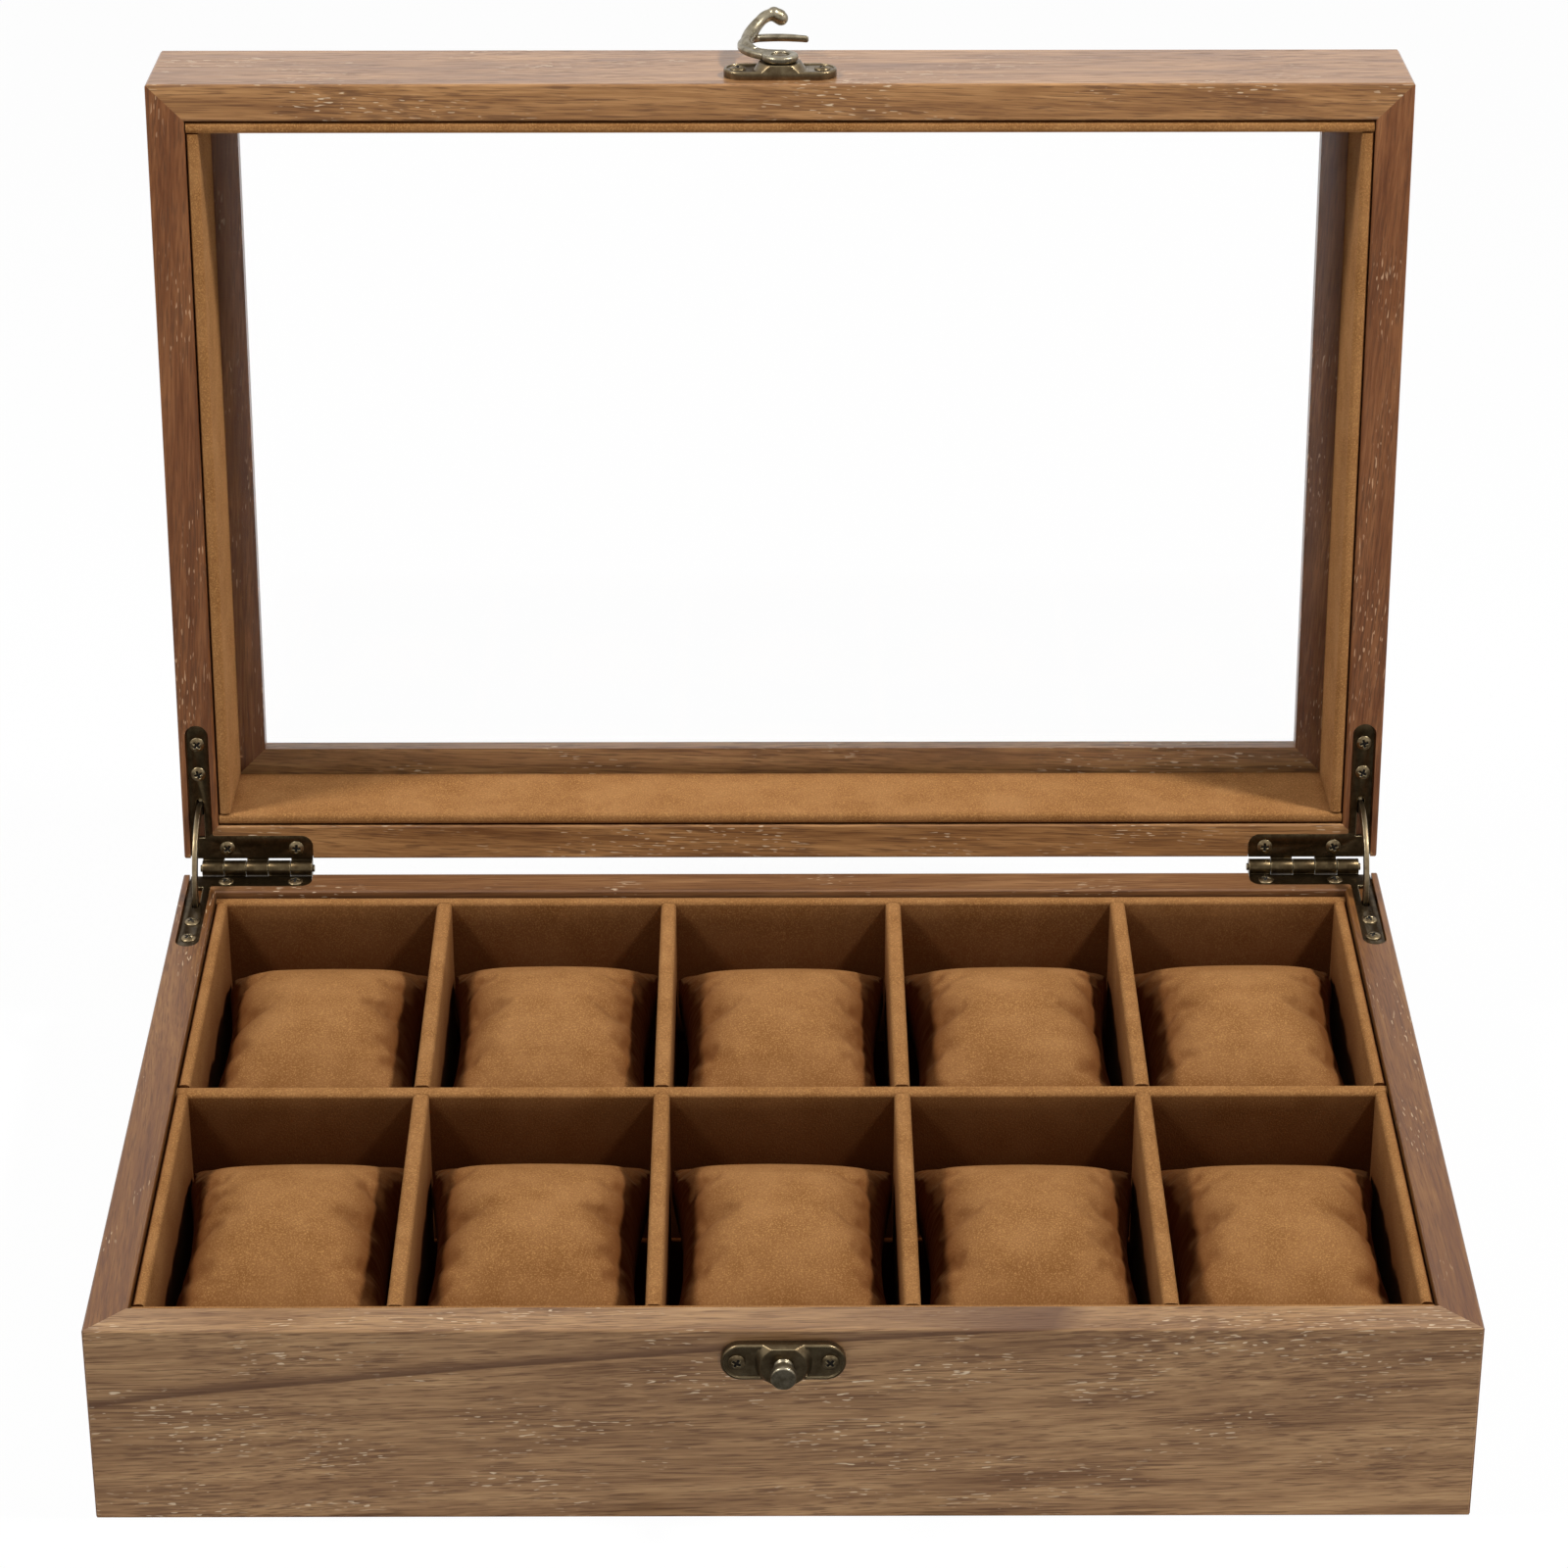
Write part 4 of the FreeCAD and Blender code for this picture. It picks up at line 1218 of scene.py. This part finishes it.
    def sized(self, points: np.ndarray) -> np.ndarray:
        """Brings a stuffed case to a pillow's overall size, with ears that stand out only a little.

        Args:
            points: points of the enlarged case.

        Returns:
            The points in metres round their own middle.
        """
        low, high = points.min(axis=0), points.max(axis=0)
        points = (points - (low + high) / 2) * (np.array(self.size) / (high - low))
        middle = np.abs(points[:, 0]) < self.size[0] * self.middle_share
        points[:, 1] *= self.size[1] / 2 / np.abs(points[middle, 1]).max()
        over = np.maximum(np.abs(points[:, 1]) - self.ear_limit, 0)
        points[:, 1] -= np.sign(points[:, 1]) * over * self.ear_squeeze
        return points

    def fit(self, case: Piece) -> np.ndarray:
        """Brings a stuffed case to a pillow's size, waist and arch.

        Args:
            case: stuffed case, enlarged.

        Returns:
            Its points in metres round its own middle.
        """
        points = np.empty(3 * len(case.data.vertices))
        case.data.vertices.foreach_get("co", points)
        points = self.sized(points.reshape(-1, 3))
        away = np.abs(points[:, 1])
        stations = np.linspace(0, away.max(), self.stations)
        step = stations[1]
        found = [np.abs(points[np.abs(away - station) < step, 0]).max() for station in stations]
        flare = np.minimum(1, stations / self.flare_end) ** 2
        wanted = self.waist / 2 + (self.size[0] - self.waist) / 2 * flare
        points[:, 0] *= np.interp(away, stations, wanted / found)
        edge = np.interp(away, stations, wanted)
        inwards = np.clip(1 - np.abs(points[:, 0]) / edge, 0, 1)
        share = self.least_full + (1 - self.least_full) * flare
        full = 1 + self.fullness * np.interp(away, stations, share)
        points[:, 0] = np.sign(points[:, 0]) * edge * (1 - inwards ** full)
        # The last stations are left out, because the roll has hardly any height at its ends.
        stations = stations[:-self.end_stations]
        inner = np.abs(points[:, 0]) < self.size[0] * self.middle_share
        tall = [points[inner & (np.abs(away - station) < step / 2), 2].max() for station in stations]
        arch = self.size[2] / 2 * (1 - (2 * stations / self.size[1]) ** 2) ** self.crown
        points[:, 2] *= np.interp(away, stations, np.minimum(1, arch / tall))
        return points

    def lay(self, case: Piece, points: np.ndarray, material: Material, node: str, number: int) -> None:
        """Lays a copy of a stuffed case in its compartment.

        Args:
            case: stuffed case to copy.
            points: its points at real size.
            material: its cloth.
            node: CAD node of the pillow.
            number: order of the pillow, which picks its turn and tilt.
        """
        chance = random.Random(100 * self.seed + number)
        low, high = (Vector(corner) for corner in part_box(node))
        floor = low.z + self.rest_gap - self.cad_gap
        moved = points.copy()
        if number % 2:
            moved[:, :2] *= -1
        reach = np.abs(2 * points[:, :2] / np.array(self.size[:2])) ** self.ear_lift_powers
        moved[:, 2] += self.ear_lift * reach[:, 0] * reach[:, 1]
        tilt = math.radians(chance.uniform(-self.tilt_degrees, self.tilt_degrees))
        lean = math.radians(chance.uniform(-self.lean_degrees, self.lean_degrees))
        moved[:, 2] += moved[:, 1] * math.tan(tilt) + moved[:, 0] * math.tan(lean)
        moved += np.array((low + high) / 2)
        moved[:, 2] -= self.sink + chance.uniform(0, self.sink_spread_mm) * MM
        moved[:, 2] = np.maximum(moved[:, 2], floor)
        mesh = case.data.copy()
        mesh.vertices.foreach_set("co", moved.ravel())
        pillow = linked(node + "_stuffed", mesh)
        apply_modifier(pillow, "SUBSURF", levels=1, render_levels=1)
        use(pillow)
        bpy.ops.object.shade_smooth()
        dress(pillow, material)
        place(pillow, node, "pillow_suede", node)

    def build(self) -> None:
        """Sews, stuffs, lays and dresses the ten pillows."""
        material = self.cloth.material()
        stuffed = []
        for number in range(self.cases):
            case = self.loose_case(number)
            self.swell(case)
            stuffed.append((case, self.fit(case)))
            log.info("case %d is stuffed", number)
        for row_number, row in enumerate(self.rows):
            for column in range(self.columns):
                number = row_number * self.columns + column
                case, points = stuffed[(number * 2 + row_number) % self.cases]
                self.lay(case, points, material, "pillow_%s_%d" % (row, column + 1), number)
        for case, _ in stuffed:
            bpy.data.objects.remove(case)


# Studio


@dataclass(frozen=True)
class Lamp:
    """Soft lamp, square or long, that is turned towards a point on the box."""

    name: str
    at: Triple
    watts: float
    size: Pair
    towards: Triple = (0.0, 0.0, 0.06)
    mirrored: bool = True

    def build(self) -> None:
        """Hangs the lamp."""
        data = bpy.data.lights.new(self.name, "AREA")
        data.shape = "RECTANGLE"
        data.size, data.size_y = self.size
        data.energy = self.watts
        lamp = bpy.data.objects.new(self.name, data)
        lamp.visible_glossy = self.mirrored
        lamp.location = self.at
        lamp.rotation_euler = (Vector(self.towards) - Vector(self.at)).to_track_quat("-Z", "Y").to_euler()
        bpy.context.scene.collection.objects.link(lamp)


@dataclass
class Studio:
    """White floor and surroundings, lamps high at both sides, a low fill in front, and the camera."""

    lamps: Tuple[Lamp, ...] = (
        Lamp("left lamp", (-0.77, -0.12, 1.08), 11.2, (0.2, 0.2)),
        Lamp("right lamp", (0.72, -0.12, 1.12), 14.6, (0.12, 0.12)),
        Lamp("front fill", (0.55, -2.3, 0.12), 17.0, (1.6, 0.2), mirrored=False),
    )
    ambient: float = 0.012
    ceiling: float = 0.95
    floor_side: float = 14.0
    floor_glow: float = 0.97
    paper: str = "#F4F4F4"
    floor_mirrored: str = "#6A6A6A"
    mirror_fade: Pair = (0.0, 0.3)
    camera_at: Triple = (-3.02 * MM, -1044.6 * MM, 702.26 * MM)
    camera_pitch: float = math.radians(26.972)
    camera_yaw: float = math.radians(-0.195)
    camera_shift: float = -0.0625
    focal_pixels: float = 4812.9
    frame_pixels: float = 1600.0
    sensor_mm: float = 36.0

    def seen_directly(self, tree: Tree) -> Socket:
        """Share that is 1 where the camera looks at the background, straight or through glass.

        Args:
            tree: node tree to add to.

        Returns:
            The share's socket.
        """
        path = add_node(tree, "LightPath").outputs
        rays = (path["Is Camera Ray"], path["Is Transmission Ray"])
        return add_node(tree, "Math", rays, operation="MAXIMUM").outputs[0]

    def surroundings(self) -> None:
        """Makes the surroundings white to look at, and dim as a light."""
        world = bpy.data.worlds.new("white studio")
        bpy.context.scene.world = world
        world.use_nodes = True
        tree = world.node_tree
        tree.nodes.clear()
        glossy = add_node(tree, "LightPath").outputs["Is Glossy Ray"]
        mirrored = add_node(tree, "Math", (glossy, self.ceiling, self.ambient), operation="MULTIPLY_ADD")
        strength = add_node(tree, "Math", (self.seen_directly(tree), mirrored.outputs[0]),
                            operation="MAXIMUM")
        sky = add_node(tree, "Background", {"Color": (1, 1, 1, 1), "Strength": strength.outputs[0]})
        add_node(tree, "OutputWorld", {"Surface": sky.outputs[0]})

    def floor(self) -> None:
        """Lays a matt white floor, which glows towards the camera but keeps some of the shadow.

        In reflections it is grey in front of the box and fades to white behind it.
        """
        bpy.ops.object.select_all(action="DESELECT")
        bpy.ops.mesh.primitive_plane_add(size=self.floor_side)
        floor = bpy.context.object
        floor.name = "studio_floor"
        material, tree = new_material("matt white paper")
        glossy = add_node(tree, "LightPath").outputs["Is Glossy Ray"]
        spot = add_node(tree, "SeparateXYZ", (add_node(tree, "TexCoord").outputs["Object"],))
        front = add_node(tree, "MapRange", (spot.outputs[1], *self.mirror_fade, 1.0, 0.0)).outputs[0]
        dim = add_node(tree, "Math", (glossy, front), operation="MULTIPLY").outputs[0]
        tone = add_node(tree, "Mix", {0: dim, 6: linear(self.paper), 7: linear(self.floor_mirrored)},
                        data_type="RGBA")
        paper = add_node(tree, "BsdfDiffuse", {"Color": tone.outputs[2]})
        glow = add_node(tree, "Emission", {"Color": (1, 1, 1, 1), "Strength": 1.0})
        seen = add_node(tree, "Math", (self.seen_directly(tree), self.floor_glow), operation="MULTIPLY")
        behind = add_node(tree, "Math", (glossy, dim), operation="SUBTRACT")
        share = add_node(tree, "Math", (seen.outputs[0], behind.outputs[0]), operation="MAXIMUM")
        both = add_node(tree, "MixShader", (share.outputs[0], paper.outputs[0], glow.outputs[0]))
        add_node(tree, "OutputMaterial", {"Surface": both.outputs[0]})
        dress(floor, material)
        floor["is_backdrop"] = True

    def camera(self) -> None:
        """Sets the camera where the photograph was taken."""
        data = bpy.data.cameras.new("photograph camera")
        data.sensor_width = self.sensor_mm
        data.lens = self.focal_pixels / self.frame_pixels * self.sensor_mm
        data.shift_y = self.camera_shift
        camera = bpy.data.objects.new("photograph camera", data)
        camera.location = self.camera_at
        camera.rotation_euler = (math.pi / 2 - self.camera_pitch, 0.0, self.camera_yaw)
        bpy.context.scene.collection.objects.link(camera)
        bpy.context.scene.camera = camera

    def build(self) -> None:
        """Sets up the whole studio."""
        bpy.context.scene.view_settings.view_transform = "Standard"
        self.surroundings()
        self.floor()
        for lamp in self.lamps:
            lamp.build()
        self.camera()


def write_sizes() -> None:
    """Works out the CAD model's box and the dressed model's box as plain lists."""
    boxes = {"cad": CAD_BOX, "visual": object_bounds()}
    plain = {name: [[float(x) for x in corner] for corner in box] for name, box in boxes.items()}


def main() -> None:
    """Builds the box's sub-assemblies in order, then the studio."""
    logging.basicConfig(level=logging.INFO, format="%(asctime)s %(name)s: %(message)s")
    kinds = (Casework, Lining, QuadrantHinges, SwingClasp, Fasteners, WatchPillows, Studio)
    for assembly in (kind() for kind in kinds):
        assembly.build()
        log.info("%s is done", type(assembly).__name__)
    write_sizes()


if __name__ == "__main__":
    main()
